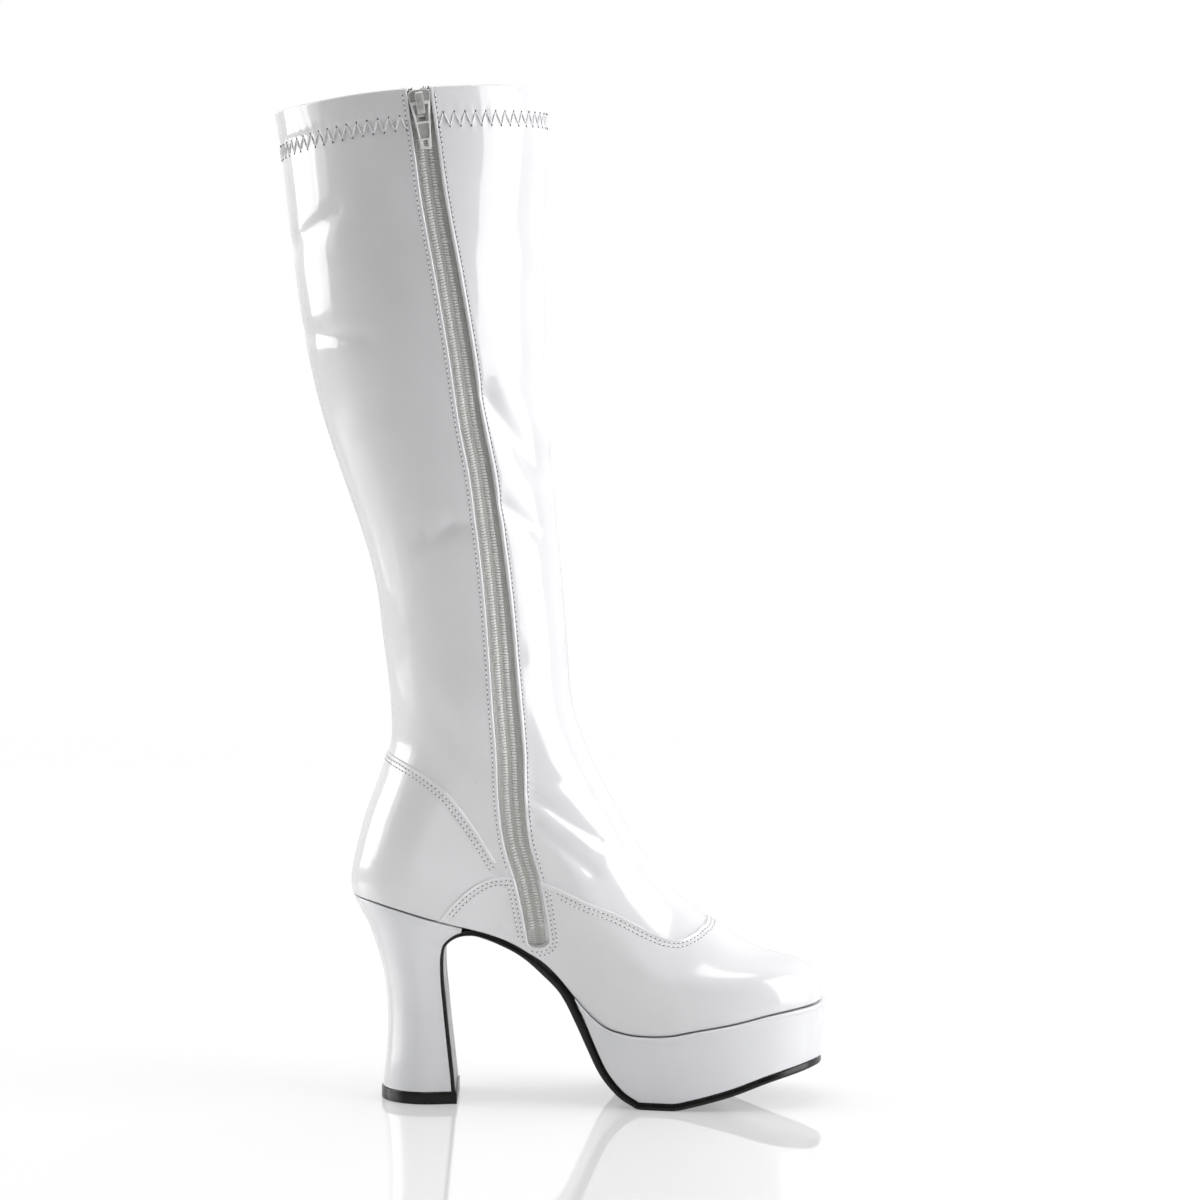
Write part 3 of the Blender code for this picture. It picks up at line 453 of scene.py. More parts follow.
def inner_side(x, z):
    """Level and turn of the points of the inner side that are seen at x and z."""

    def share(level):
        ends = eased(RINGS, level)
        return np.clip((x - ends[..., 0]) / (ends[..., 2] - ends[..., 0]), 0, 1)

    level = bisect(lambda level: ring_at(level, share(level))[1] > z, np.shape(x))
    return level, 2 * math.pi - np.arccos(1 - 2 * share(level))


def zip_point(up):
    """Side x and z of the zip's middle line, from its lower end (0) to the collar (1)."""
    x = along(smooth(ZIP_LINE, up)[..., 0])
    return np.stack([x, ZIP_BOTTOM + np.asarray(up) * ZIP_HEIGHT], axis=-1)


def zip_frame(up):
    """Middle line and the unit vectors up along it and across it, seen from the side."""
    step = 1e-3
    run = unit(zip_point(np.asarray(up) + step) - zip_point(np.asarray(up) - step))
    return zip_point(up), run, np.stack([run[..., 1], -run[..., 0]], axis=-1)


def slot_half(up):
    """Half width of the slot up the zip; its lower end is round."""
    half = smooth(SLOT_HALF, up)[..., 0] * MM
    return half * round_end(np.asarray(up) * ZIP_HEIGHT / SLOT_ROUND)


def slot_line(way):
    """Level and turn along the slot's outline, from its lower end up one edge; way is 1 for the
    front edge and -1 for the rear one."""
    up = np.linspace(0, 1, 900) ** 1.9
    middle, _, sideways = zip_frame(up)
    place = middle + sideways * (way * slot_half(up))[:, None]
    level, turn = inner_side(place[:, 0], place[:, 1])
    return np.minimum(level, 1), turn


def slot_outline():
    """Level and turn round the whole slot, down its rear edge and up its front one."""
    front, rear = slot_line(1), slot_line(-1)
    return [np.concatenate([rear[i][::-1][:-1], front[i]]) for i in (0, 1)]


def slot_turn(level, way):
    """Turn of the slot's edge at a level; below the slot it is the turn of its lowest place."""
    levels, turns = SLOT
    lowest = int(np.argmin(levels))
    branch = slice(lowest, None) if way > 0 else slice(lowest, None, -1)
    return np.interp(level, np.maximum.accumulate(levels[branch]), turns[branch])


SLOT = slot_outline()


def walk(level, turn, move):
    """Level and turn after moving along the face by vectors that touch it."""
    parts = 4
    for _ in range(parts):
        rise, sweep = slopes_at(level, turn)
        a, b, c = (rise * rise).sum(-1), (rise * sweep).sum(-1), (sweep * sweep).sum(-1)
        p, q = (rise * move).sum(-1) / parts, (sweep * move).sum(-1) / parts
        scale = a * c - b * b
        level = np.clip(level + (c * p - b * q) / scale, 0, 1)
        turn = turn + (a * q - b * p) / scale
    return level, turn


def beside(level, turn, distance):
    """The line that runs at a distance to the right of a line on the face, seen from outside."""
    tangent = unit(np.gradient(surface(level, turn), axis=0))
    return walk(level, turn, np.cross(tangent, normal_at(level, turn)) * distance)


def evenly(points, pitch):
    """Places, counted in points, that lie a pitch apart along a line of points."""
    run = np.concatenate([[0], np.cumsum(np.linalg.norm(np.diff(points, axis=0), axis=1))])
    count = max(int(run[-1] / pitch), 1)
    return np.interp(np.linspace(0, run[-1], count + 1), run, np.arange(len(points)))


def picked(values, places):
    """Rows of an array at places between its rows."""
    low = np.clip(places.astype(int), 0, len(values) - 2)
    part = places - low
    part = part.reshape(part.shape + (1,) * (values.ndim - 1))
    return values[low] * (1 - part) + values[low + 1] * part


def distance_to(points, line, reach):
    """Least distance from each point to a line of points, up to a reach."""
    shape = points.shape[:-1]
    flat = points.reshape(-1, 3)
    least = np.full(len(flat), reach)
    low, high = line.min(axis=0) - reach, line.max(axis=0) + reach
    near = np.where(((flat > low) & (flat < high)).all(axis=1))[0]
    starts, runs = line[:-1], np.diff(line, axis=0)
    lengths = np.maximum((runs * runs).sum(axis=1), 1e-16)
    for part in np.array_split(near, max(len(near) // 2000, 1)):
        offset = flat[part, None] - starts[None]
        t = np.clip((offset * runs).sum(axis=-1) / lengths, 0, 1)
        gaps = np.linalg.norm(offset - t[..., None] * runs, axis=-1)
        least[part] = np.minimum(least[part], gaps.min(axis=1))
    return least.reshape(shape)


# Meshes

WELD = 1e-6  # points that lie this close together become one


def placed(name, data):
    """A new object in the scene."""
    made = bpy.data.objects.new(name, data)
    bpy.context.scene.collection.objects.link(made)
    return made


def new_object(name, mesh, material, sharp=50):
    mesh.shade_smooth()
    if sharp:
        mesh.set_sharp_from_angle(angle=math.radians(sharp))
    mesh.materials.append(material)
    return placed(name, mesh)


def grid_faces(rows, columns, first=0, close_columns=False):
    """Quads through a grid whose points are numbered row by row from first."""
    i = np.arange(rows - 1)[:, None] * columns
    j = np.arange(columns if close_columns else columns - 1)[None]
    n = (j + 1) % columns
    corners = [i + j, i + n, i + columns + n, i + columns + j]
    return np.stack(np.broadcast_arrays(*corners), axis=-1).reshape(-1, 4) + first


def skin(name, grids, material, sharp=50, close_columns=False, closed=False):
    """One object from grids of points, welded where they meet; closed ones get their faces out."""
    verts, faces, count = [], [], 0
    for points in grids:
        rows, columns = points.shape[:2]
        verts.append(points.reshape(-1, 3))
        faces.append(grid_faces(rows, columns, count, close_columns))
        count += rows * columns
    mesh = bpy.data.meshes.new(name)
    mesh.from_pydata(np.vstack(verts).tolist(), [], np.vstack(faces).tolist())
    made = bmesh.new()
    made.from_mesh(mesh)
    bmesh.ops.remove_doubles(made, verts=made.verts, dist=WELD)
    bmesh.ops.dissolve_degenerate(made, edges=made.edges, dist=WELD)
    if closed:
        bmesh.ops.recalc_face_normals(made, faces=made.faces)
    made.to_mesh(mesh)
    made.free()
    return new_object(name, mesh, material, sharp)


def many(name, shapes, material, sharp=0):
    """One object from many small grids of one size, each closed round its columns and capped."""
    shapes = np.asarray(shapes)
    count, rows, columns = shapes.shape[:3]
    faces = grid_faces(rows, columns, close_columns=True)
    each = rows * columns
    quads = (faces[None] + (np.arange(count) * each)[:, None, None]).reshape(-1, 4).tolist()
    ends = [list(range(columns))[::-1], list(range(each - columns, each))]
    caps = [[i * each + v for v in end] for i in range(count) for end in ends]
    mesh = bpy.data.meshes.new(name)
    mesh.from_pydata(shapes.reshape(-1, 3).tolist(), [], quads + caps)
    return new_object(name, mesh, material, sharp)


def dress(piece, body, slot, *nodes):
    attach(piece, body)
    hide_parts(*nodes)


# Materials


def shader_of(name, colour, roughness, **sockets):
    """A new material's Principled shader and its node tree."""
    made = bpy.data.materials.new(name)
    made.use_nodes = True
    shader = made.node_tree.nodes["Principled BSDF"]
    shader.inputs["Base Color"].default_value = (*colour, 1)
    shader.inputs["Roughness"].default_value = roughness
    for key, value in sockets.items():
        shader.inputs[key.replace("_", " ")].default_value = value
    return made, shader, made.node_tree


def pattern(tree, scale, detail=2.0, rough=0.5, bands=""):
    """Noise in the object's own metres, or bands across the named axis."""
    made = tree.nodes.new("ShaderNodeTexWave" if bands else "ShaderNodeTexNoise")
    place = tree.nodes.new("ShaderNodeTexCoord").outputs["Object"]
    tree.links.new(place, made.inputs["Vector"])
    made.inputs["Scale"].default_value = scale
    made.inputs["Detail"].default_value = detail
    if bands:
        made.bands_direction = bands
        made.inputs["Distortion"].default_value = 0.6
    else:
        made.inputs["Roughness"].default_value = rough
    return made.outputs["Fac"]


def spread(tree, source, low, high, start=0.3, end=0.7):
    """A value that runs from low to high as the source runs from start to end."""
    made = tree.nodes.new("ShaderNodeMapRange")
    made.inputs["From Min"].default_value = start
    made.inputs["From Max"].default_value = end
    made.inputs["To Min"].default_value = low
    made.inputs["To Max"].default_value = high
    tree.links.new(source, made.inputs["Value"])
    return made.outputs["Result"]


def tinted(tree, source, one, other, start=0.3, end=0.7):
    ramp = tree.nodes.new("ShaderNodeValToRGB")
    ramp.color_ramp.elements[0].position = start
    ramp.color_ramp.elements[1].position = end
    ramp.color_ramp.elements[0].color = (*one, 1)
    ramp.color_ramp.elements[1].color = (*other, 1)
    tree.links.new(source, ramp.inputs["Fac"])
    return ramp.outputs["Color"]


def material(name, colour, roughness, tone, gloss=None, bumps=(), coat_bumps=False, **sockets):
    """A material whose tone, roughness and face vary with patterns. The tone has a darker and a
    lighter colour and may have the values where they start and end, the gloss its least and most
    roughness, and each bump its depth in metres and its strength."""
    made, shader, tree = shader_of(name, colour, roughness, **sockets)
    source, *colours = tone
    tree.links.new(tinted(tree, pattern(tree, **source), *colours), shader.inputs["Base Color"])
    if gloss:
        source, least, most = gloss
        tree.links.new(spread(tree, pattern(tree, **source), least, most), shader.inputs["Roughness"])
    normal = None
    for source, depth, strength in bumps:
        bump = tree.nodes.new("ShaderNodeBump")
        bump.inputs["Distance"].default_value = depth
        bump.inputs["Strength"].default_value = strength
        tree.links.new(pattern(tree, **source), bump.inputs["Height"])
        if normal:
            tree.links.new(normal, bump.inputs["Normal"])
        normal = bump.outputs["Normal"]
        tree.links.new(normal, shader.inputs["Normal"])
        if coat_bumps:
            tree.links.new(normal, shader.inputs["Coat Normal"])
    return made


def cloud(scale, detail=2, rough=0.5):
    return {"scale": scale, "detail": detail, "rough": rough}


def ribs(scale, direction):
    return {"scale": scale, "detail": 1, "bands": direction}


def grey(value):
    return (value, value, value)


def patent_material(name, colour, dusk):
    """Stretch patent: a milky sheet under a clear film with a faint orange peel."""
    bumps = [(cloud(45, 1), 0.0006, 0.35), (cloud(420), 0.00005, 0.25)]
    film = {"Coat_Weight": 1.0, "Coat_Roughness": 0.03, "Coat_IOR": 1.5, "IOR": 1.45}
    gloss = (cloud(90), 0.16, 0.26)
    return material(name, colour, 0.2, (cloud(30, 3), dusk, colour), gloss, bumps, True, **film)


def textile_material(name, colour, dusk):
    """A fine rib weave: threads run along X and Z of the boot."""
    tone = (ribs(300, "Z"), dusk, colour, 0.15, 0.75)
    bumps = [(ribs(300, "Z"), 0.0003, 0.6), (ribs(420, "X"), 0.0003, 0.5)]
    return material(name, colour, 0.8, tone, (cloud(500, 3), 0.7, 0.9), bumps, Sheen_Weight=0.25)


def thread_material(name, colour, dusk):
    bumps = [(ribs(900, "DIAGONAL"), 0.0001, 0.5)]
    return material(name, colour, 0.6, (cloud(900, 3), dusk, colour), None, bumps, Sheen_Weight=0.3)


PATENT = patent_material("white_patent", (0.86, 0.86, 0.87), (0.82, 0.82, 0.825))
WRAP = patent_material("white_heel_wrap", (0.84, 0.845, 0.86), (0.80, 0.805, 0.82))
BLACK = material(
    "sole_edge_black", grey(0.006), 0.3,
    (cloud(60, 4), grey(0.004), (0.010, 0.010, 0.009)),
    (cloud(120, 4), 0.14, 0.34),
    [(cloud(700, 4, 0.6), 0.0001, 0.25)],
    Coat_Weight=0.2, Coat_Roughness=0.2, IOR=1.4,
)
LINING = material(
    "brushed_lining", (0.80, 0.79, 0.76), 0.85,
    (cloud(60, 5), (0.70, 0.69, 0.66), (0.84, 0.83, 0.80)),
    (cloud(300, 3), 0.75, 0.95),
    [(cloud(1800, 3, 0.7), 0.0003, 0.5), (cloud(200), 0.0004, 0.3)],
    Sheen_Weight=0.4,
)
TAPE = textile_material("woven_tape", (0.74, 0.74, 0.71), (0.60, 0.60, 0.575))
COIL = material(
    "nylon_coil", (0.90, 0.90, 0.88), 0.35,
    (cloud(400, 3), (0.84, 0.84, 0.81), (0.93, 0.93, 0.91)),
    (cloud(900), 0.32, 0.5),
    [(cloud(1500), 0.0001, 0.3)],
    Coat_Weight=0.3,
)
PAINT = material(
    "painted_slider", (0.56, 0.56, 0.54), 0.3,
    (cloud(500, 4), (0.48, 0.48, 0.46), (0.62, 0.62, 0.60)),
    (cloud(700, 3), 0.25, 0.45),
    [(cloud(900, 3), 0.0001, 0.3)],
    Coat_Weight=1.0, Coat_Roughness=0.08, Metallic=0.15,
)
# Painted highlight: near-white colour on the rims and edges of the slider and pull, where light catches
# them
EDGE_HIGHLIGHT = material(
    "edge_highlight", (0.88, 0.88, 0.86), 0.25,
    (cloud(600, 3), (0.80, 0.80, 0.78), (0.93, 0.93, 0.91)),
    (cloud(700, 3), 0.18, 0.32),
    Coat_Weight=1.0,
)
THREAD = thread_material("white_thread", grey(0.96), grey(0.90))
# Painted shade: a darker textile for the strip between the coil's rows, where shade falls
VALLEY_SHADE = textile_material("zip_valley_shade", (0.66, 0.66, 0.62), (0.50, 0.50, 0.46))
# Painted shade: dark threads that stand for the shadowed gaps between the tape's frayed ends
FRAY_SHADE = thread_material("frayed_tape_shade", (0.16, 0.16, 0.15), grey(0.03))
# Painted shade: dark marks at the stitches' ends that stand for the shade inside the needle holes
HOLE_SHADE = thread_material("needle_hole_shade", (0.10, 0.10, 0.095), grey(0.05))


# Upper

# Distances in from a panel's edge, close together where its fold turns
FINE_STEPS = np.array([0, 0.06, 0.14, 0.26, 0.42, 0.65, 0.95, 1.3, 1.65, 2, 2.35, 2.75, 3.3, 4.2, 5.4])
FINE_STEPS *= MM
TURN_STEPS = 2880
TURNS = np.linspace(0, 2 * math.pi, TURN_STEPS + 1)


def table_of(height):
    """Level against turn of a line that runs round the boot at a height that depends on x."""
    levels = level_under(height, TURNS)
    return lambda turn: np.interp(np.mod(turn, 2 * math.pi), TURNS, levels)


def seam_height(x):
    return np.maximum(counter_height(x), vamp_height(x))


VAMP_LEVEL = table_of(vamp_height)
COUNTER_LEVEL = table_of(counter_height)
SEAM_LAP = 0.004  # how far the leg's sheet runs on under the panels
SHEET_LEVEL = table_of(lambda x: seam_height(x) - SEAM_LAP)


def side_turn(x, level=0.0):
    """Turn at which a level passes x on the outer side."""
    ends = eased(RINGS, level)
    return math.acos(1 - 2 * (x - ends[0]) / (ends[2] - ends[0]))


SLOT_OUTLINE = surface(*SLOT)


def rise_rate(level, turn):
    """Metres along the face for each unit of level."""
    return np.linalg.norm(slopes_at(level, turn)[0], axis=-1)


def fold_out(table, distance):
    """How far a folded edge stands out at a distance in from it."""
    return np.interp(distance / MM, table[:, 0], table[:, 1]) * MM


def relief(level, turn):
    """Soft folds of the sheet: how far it stands out or in at places of the outer face."""
    x, y, z = np.moveaxis(surface(level, turn), -1, 0)
    out = np.zeros(x.shape)
    inner = 1 / (1 + np.exp(np.clip(y / (3 * MM), -30, 30)))
    for side, along_1, up_1, along_2, up_2, width, height in CREASES:
        start = np.array([along(along_1), ZIP_BOTTOM + up_1 * ZIP_HEIGHT])
        run = np.array([along(along_2), ZIP_BOTTOM + up_2 * ZIP_HEIGHT]) - start
        t = np.clip(((x - start[0]) * run[0] + (z - start[1]) * run[1]) / (run @ run), 0, 1)
        gap = np.hypot(x - start[0] - t * run[0], z - start[1] - t * run[1])
        shown = inner if side < 0 else 1 - inner
        out = out + shown * height * MM * np.exp(-((gap / (width * MM)) ** 2))
    middle = zip_point((z - ZIP_BOTTOM) / ZIP_HEIGHT)[..., 0]
    crown = ZIP_CROWN * np.exp(-(((x - middle) / ZIP_CROWN_HALF) ** 2))
    out = out + inner * crown * ease((z - ZIP_CROWN_FOOT) / ZIP_CROWN_RISE)
    drop = collar_height(x) - z
    hem = drop - HEM_DROP
    pucker = np.sin(turn * HEM_PUCKERS) * np.exp(-((hem / (5 * MM)) ** 2))
    out = out + PUCKER_HEIGHT * pucker - HEM_SINK * np.exp(-((hem / (3.4 * MM)) ** 2))
    return out + HEM_STEP * ease((HEM_DROP - drop) / (3 * MM))


def sheet_out(level, turn):
    """How far the leg's sheet stands out, with its folded edges at the slot."""
    near = distance_to(surface(level, turn), SLOT_OUTLINE, 6 * MM)
    return fold_out(SLOT_FOLD, near) + relief(level, turn)


def vamp_out(level, turn):
    near = distance_to(surface(level, turn), surface(*VAMP_LINE), 9 * MM)
    return fold_out(PANEL_FOLD, near) + sheet_out(level, turn)


def counter_out(level, turn):
    near = distance_to(surface(level, turn), surface(*COUNTER_LINE), 9 * MM)
    out = fold_out(PANEL_FOLD, near) + relief(level, turn)
    return out - COUNTER_DROP * (out > 0)


def make_shaft():
    """The leg's sheet, cut open at the zip's slot, with its collar turned in."""
    around, up_rows = 250, 250
    turned_down = 0.048  # levels that the collar's inner face runs down
    mean_radius = ANKLE_DEPTH / 2 + (COLLAR_DEPTH - ANKLE_DEPTH) / 4
    edge = FINE_STEPS / (2 * math.pi * mean_radius)
    middle = np.linspace(edge[-1], 1 - edge[-1], around)[1:-1]
    column = np.concatenate([edge, middle, 1 - edge[::-1]])
    top = 1 - np.array([1.2, 0.8, 0.45, 0.2, 0.0]) * MM / (SHAFT_LENGTH + ANKLE_HEIGHT / 2)
    rise = np.concatenate([np.linspace(0, top[0], up_rows)[:-1], top])
    level = np.broadcast_to(rise[:, None], (len(rise), len(column)))
    for _ in range(4):
        front = slot_turn(level[:, -1:], 1) + 2 * math.pi
        rear = slot_turn(level[:, :1], -1)
        turn = rear + (front - rear) * column
        low = SHEET_LEVEL(turn)
        level = low + (1 - low) * rise[:, None]
    sheet = level, turn, sheet_out(level, turn)
    level, turn, out = turned_in(sheet, np.ones(len(rise), bool), both=True)
    outside = shell(level, turn, out)
    angle = np.linspace(0, math.pi, 9)[1:, None]
    lip = unit(slopes_at(level[-1], turn[-1])[0])
    normal = normal_at(level[-1], turn[-1])
    centre = surface(level[-1], turn[-1]) - normal * WALL / 2
    reach = (out[-1] + WALL / 2)[None, :, None]
    roll = centre[None] + normal[None] * np.cos(angle)[..., None] * np.abs(reach)
    roll = roll + lip[None] * (np.sin(angle) * WALL / 2)[..., None]
    hem = np.linspace(0, turned_down, 8)[1:, None]
    inside = shell(1 - hem + 0 * turn[-1], turn[-1] + 0 * hem, -WALL + 0 * hem * turn[-1])
    return skin("shaft", [np.concatenate([outside, roll, inside])], PATENT)


def turned_in(sheet, open_rows, both=False):
    """Adds columns at the slot's edge that turn a sheet in towards the tape. The sheet is given by
    its levels, its turns and how far it stands out."""
    depths = np.array([-2.3, -1.9, -1.2]) * MM
    insets = np.array([0.9, 0.25, 0.05]) * MM / (ANKLE_DEPTH / 2)
    shown = open_rows[:, None]

    def side(column, way):
        level, turn, out = (array[:, column, None] for array in sheet)
        room = np.abs(slot_turn(level, 1) - slot_turn(level, -1)) / 2
        turned = np.where(shown, turn + way * np.minimum(insets, 0.8 * room), turn)
        return np.broadcast_to(level, turned.shape), turned, np.where(shown, depths, out)

    parts = [side(0, 1), sheet]
    if both:
        parts.append([array[:, ::-1] for array in side(-1, -1)])
    return [np.concatenate(arrays, axis=1) for arrays in zip(*parts)]


def panel_levels(top, turn, coarse):
    """Levels of a panel's rows, from the floor line up to its folded edge, row by row."""
    rate = rise_rate(np.maximum(top - 0.01, 0.0), turn)
    count = len(coarse)
    low = coarse[:, None] * np.maximum(top - FINE_STEPS[-1] / rate, 0)[:count]
    high = np.maximum(top[count:] - FINE_STEPS[-2::-1, None] / rate[count:], 0)
    return np.concatenate([low, high])


def floor_round(level, turn, out):
    """Rounds a panel's lower edge in under the foot, and adds a row that hides the seam."""
    radius = 0.8 * MM
    height = np.clip(level * rise_rate(0.01 + 0 * turn, turn) / radius, 0, 1)
    out = out - radius * (1 - round_end(height))
    low_out = np.full(out.shape[1], -WALL)
    return np.vstack([0 * level[:1], level]), np.vstack([turn[:1], turn]), np.vstack([low_out, out])


def seam_line(levels, first, last):
    """Level and turn along a panel's upper edge."""
    turn = np.linspace(first, last, 900)
    return levels(turn), turn


VAMP_RUN_ON = 0.002  # how far the vamp runs on behind its seam's first place
COUNTER_END = 0.0445  # x where the counter ends at the floor line
HUMP_TURN = side_turn(along(VAMP_SEAM[0, 0]) - VAMP_RUN_ON)
COUNTER_TURN = side_turn(COUNTER_END)
VAMP_LINE = seam_line(VAMP_LEVEL, HUMP_TURN, 2 * math.pi - HUMP_TURN)
COUNTER_LINE = seam_line(COUNTER_LEVEL, -COUNTER_TURN, COUNTER_TURN)
FLOOR_STEPS = np.array([0, 0.012, 0.03, 0.055])


def make_vamp():
    """The forefoot's panel, cut open at the slot's lower end and lapped over the counter."""
    lowest = int(np.argmin(SLOT[0]))
    bottom_level, bottom_turn = SLOT[0][lowest], SLOT[1][lowest]
    reach = FINE_STEPS[-1] / rise_rate(np.array(0.1), np.array(bottom_turn))
    share = bottom_level / (VAMP_LEVEL(bottom_turn) - reach)
    height = 0.028  # of the panel under the slot
    steps = np.array([0.06, 0.16, 0.3, 0.5, 0.8, 1.2, 1.7, 2.4, 3.3, 4.4]) * MM / height
    even = np.linspace(0.08, 1, 60)
    coarse = np.concatenate([FLOOR_STEPS, even, share - steps, share + steps, [share]])
    coarse = np.sort(coarse[(coarse >= 0) & (coarse <= 1)])
    edge = FINE_STEPS / (LAST_LENGTH / 2)
    round_toe, round_heel = 3.62, 0.46  # turn from the slot to the panel's ends
    parts = []
    sides = (1, round_toe, 280, HUMP_TURN), (-1, round_heel, 40, 2 * math.pi - HUMP_TURN)
    for way, run, count, far in sides:
        column = np.concatenate([edge, np.linspace(edge[-1], run, count)[1:]])
        column = column / column[-1]
        turn = np.broadcast_to(bottom_turn, (len(coarse) + len(FINE_STEPS) - 1, len(column)))
        for _ in range(4):
            near = panel_levels(VAMP_LEVEL(turn[:, :1]), turn[:, :1], coarse)
            near_turn = slot_turn(near, way)
            turn = near_turn + (far - near_turn) * column
        level = panel_levels(VAMP_LEVEL(turn), turn, coarse)
        beyond = level[:, 0] > bottom_level + 1e-6
        level, turn, out = turned_in((level, turn, vamp_out(level, turn)), beyond)
        level, turn, out = floor_round(level, turn, out)
        parts.append(shell(level, turn, out))
    return parts


def make_counter():
    """The heel cup's panel."""
    coarse = np.concatenate([FLOOR_STEPS, np.linspace(0.08, 1, 60)])
    rows = len(coarse) + len(FINE_STEPS) - 1
    turn = np.broadcast_to(np.linspace(-COUNTER_TURN, COUNTER_TURN, 240), (rows, 240))
    level = panel_levels(COUNTER_LEVEL(turn), turn, coarse)
    level, turn, out = floor_round(level, turn, counter_out(level, turn))
    return skin("counter", [shell(level, turn, out)], PATENT)


def make_lining():
    """The leg's inner face, which also backs the zip's tape."""
    around, up_rows = 120, 90
    turn = np.linspace(0, 2 * math.pi, around + 1)[:-1]
    level = np.linspace(0.02, 1 - 0.046, up_rows)[:, None]
    out = np.full((up_rows, around), LINING_FACE)
    out[-1] = -WALL - 0.1 * MM
    return skin("lining", [shell(level + 0 * turn, turn + 0 * level, out)], LINING, close_columns=True)


# Sole and heel


def sole_point(row, lift=0.0):
    """Points of the sole's line seen from the side, lifted off its underside by shares of its
    thickness, plus the gap where lift is over 1."""
    rows = np.column_stack([np.arange(len(SOLE)), SOLE])
    row = np.asarray(row, float)

    def line(at):
        share, heel, toe, _ = np.moveaxis(smooth(rows, at), -1, 0)
        x = along(share) + toe * SOLE_PROUD
        height = heel * HEEL_HEIGHT + toe * SOLE_TOE_SPRING
        return np.stack([x, np.maximum(height, 0)], axis=-1)

    step = 1e-3
    last = len(SOLE) - 1
    run = unit(line(np.minimum(row + step, last)) - line(np.maximum(row - step, 0)))
    inward = np.stack([run[..., 1], -run[..., 0]], axis=-1)
    thickness = smooth(rows, row)[..., 3] * SOLE_THICKNESS * min(lift, 1)
    if lift > 1:
        thickness = thickness + GAP
    return line(row) + inward * thickness[..., None]


def under_last(points):
    """Side points kept below the last's floor line by the gap."""
    held = points.copy()
    held[..., 1] = np.minimum(points[..., 1], feather(points[..., 0]) - SEAT_GAP)
    return held


def both_edges(side_points, widen=0.0):
    """Inner and outer edge points, round the last's floor outline, for side points up to its toe."""
    x, z = side_points[..., 0], side_points[..., 1]
    proud = x.max() - along(1)
    back = along(0) - proud
    share = np.clip((x - back) / (x.max() - back), 0, 1)
    _, _, half, shift = ring_at(0.0, share)
    tip = round_end((1 - share) / TIP_SHARE)
    half = half + (proud + widen) * tip
    return [np.stack([x + widen * (1 - tip), shift + way * half, z], axis=-1) for way in (-1, 1)]


def forefoot_rows(stations):
    """Places on the sole's table, from the toe tip to the platform's rear corner, close together
    towards the tip."""
    rows = np.linspace(0, PLATFORM_REAR, 800)
    x = sole_point(rows)[:, 0]
    wanted = x[-1] + (x[0] - x[-1]) * np.sin(np.linspace(math.pi / 2, 0, stations))
    return np.interp(-wanted, -x, rows)


def banded(name, levels, material):
    """A closed solid through levels of inner and outer side points, from the bottom up."""
    inner = np.stack([level[0] for level in levels])
    outer = np.stack([level[1] for level in levels])
    ends = [np.stack([inner[:, end], outer[:, end]], axis=1) for end in (0, -1)]
    floors = [np.stack([inner[level], outer[level]]) for level in (0, -1)]
    return skin(name, [inner, outer, *ends, *floors], material, sharp=40, closed=True)


def make_platform():
    """The wrapped platform, with a folded rim along its top edge."""
    low = sole_point(forefoot_rows(150), 2)
    tip, rear = along(1) + PLATFORM_PROUD, low[-1, 0]
    top_x = rear + (low[:, 0] - rear) * (tip - rear) / (low[0, 0] - rear)
    top = np.stack([top_x, feather(top_x) - SEAT_GAP], axis=-1)
    height = np.linalg.norm(top - low, axis=1)[:, None]
    levels = []
    for share, drop, widen in PLATFORM_SIDE:
        place = low + (top - low) * np.clip(share - drop * MM / height, 0, 1)
        levels.append(both_edges(place, widen * MM))
    return banded("platform_wrap", levels, WRAP)


def heel_half_width(z):
    """Half width of the heel against height, read from its rings."""
    height = HEEL[:, 2] * HEEL_HEIGHT
    width = HEEL_BASE_WIDTH + HEEL[:, 3] * (HEEL_TOP_WIDTH - HEEL_BASE_WIDTH)
    return smooth(np.column_stack([height, width / 2]), z)[..., 0]


def make_outsole():
    """The black sole, from the toe under the platform and arch to the foot of the breast."""
    arch_rows = np.arange(math.ceil(PLATFORM_REAR), len(SOLE) - 0.95, 0.1)
    row = np.concatenate([forefoot_rows(150), arch_rows])
    bottom, top = sole_point(row), under_last(sole_point(row, 1))
    blend = ease((row - HEEL_TIP) / BREAST_ROWS)
    levels = []
    for angle in np.linspace(-math.pi / 2, math.pi / 2, 9):
        share = (1 + math.sin(angle)) / 2
        widen = -0.9 * MM * (1 - math.cos(angle) ** 0.7)
        place = bottom + (top - bottom) * share
        edges = both_edges(place, widen)
        breast = heel_half_width(place[:, 1]) * HEEL_FRONT_SHARE + widen
        for edge, way in zip(edges, (-1, 1)):
            edge[:, 1] = edge[:, 1] * (1 - blend) + way * breast * blend
        levels.append(edges)
    return banded("sole_sheet", levels, BLACK)


def heel_ring(back, front, half, follow, inset=0.0):
    """Inner and outer points of a ring with a round back and a straight breast."""
    share = (1 - np.cos(np.linspace(0, math.pi, 70))) / 2
    x = back[0] + (front[0] - back[0]) * share
    z = back[1] + (front[1] - back[1]) * share + follow * bend_of(x, back[0], front[0], share)
    narrowing = (share - HEEL_ROUND_SHARE) / (1 - HEEL_ROUND_SHARE)
    y = half * round_end(share / HEEL_ROUND_SHARE) * (1 - (1 - HEEL_FRONT_SHARE) * ease(narrowing))
    y = np.maximum(y - inset, 0)
    x = x + inset * (1 - round_end(share / HEEL_ROUND_SHARE))
    return np.stack([x, -y, z], axis=-1), np.stack([x, y, z], axis=-1)


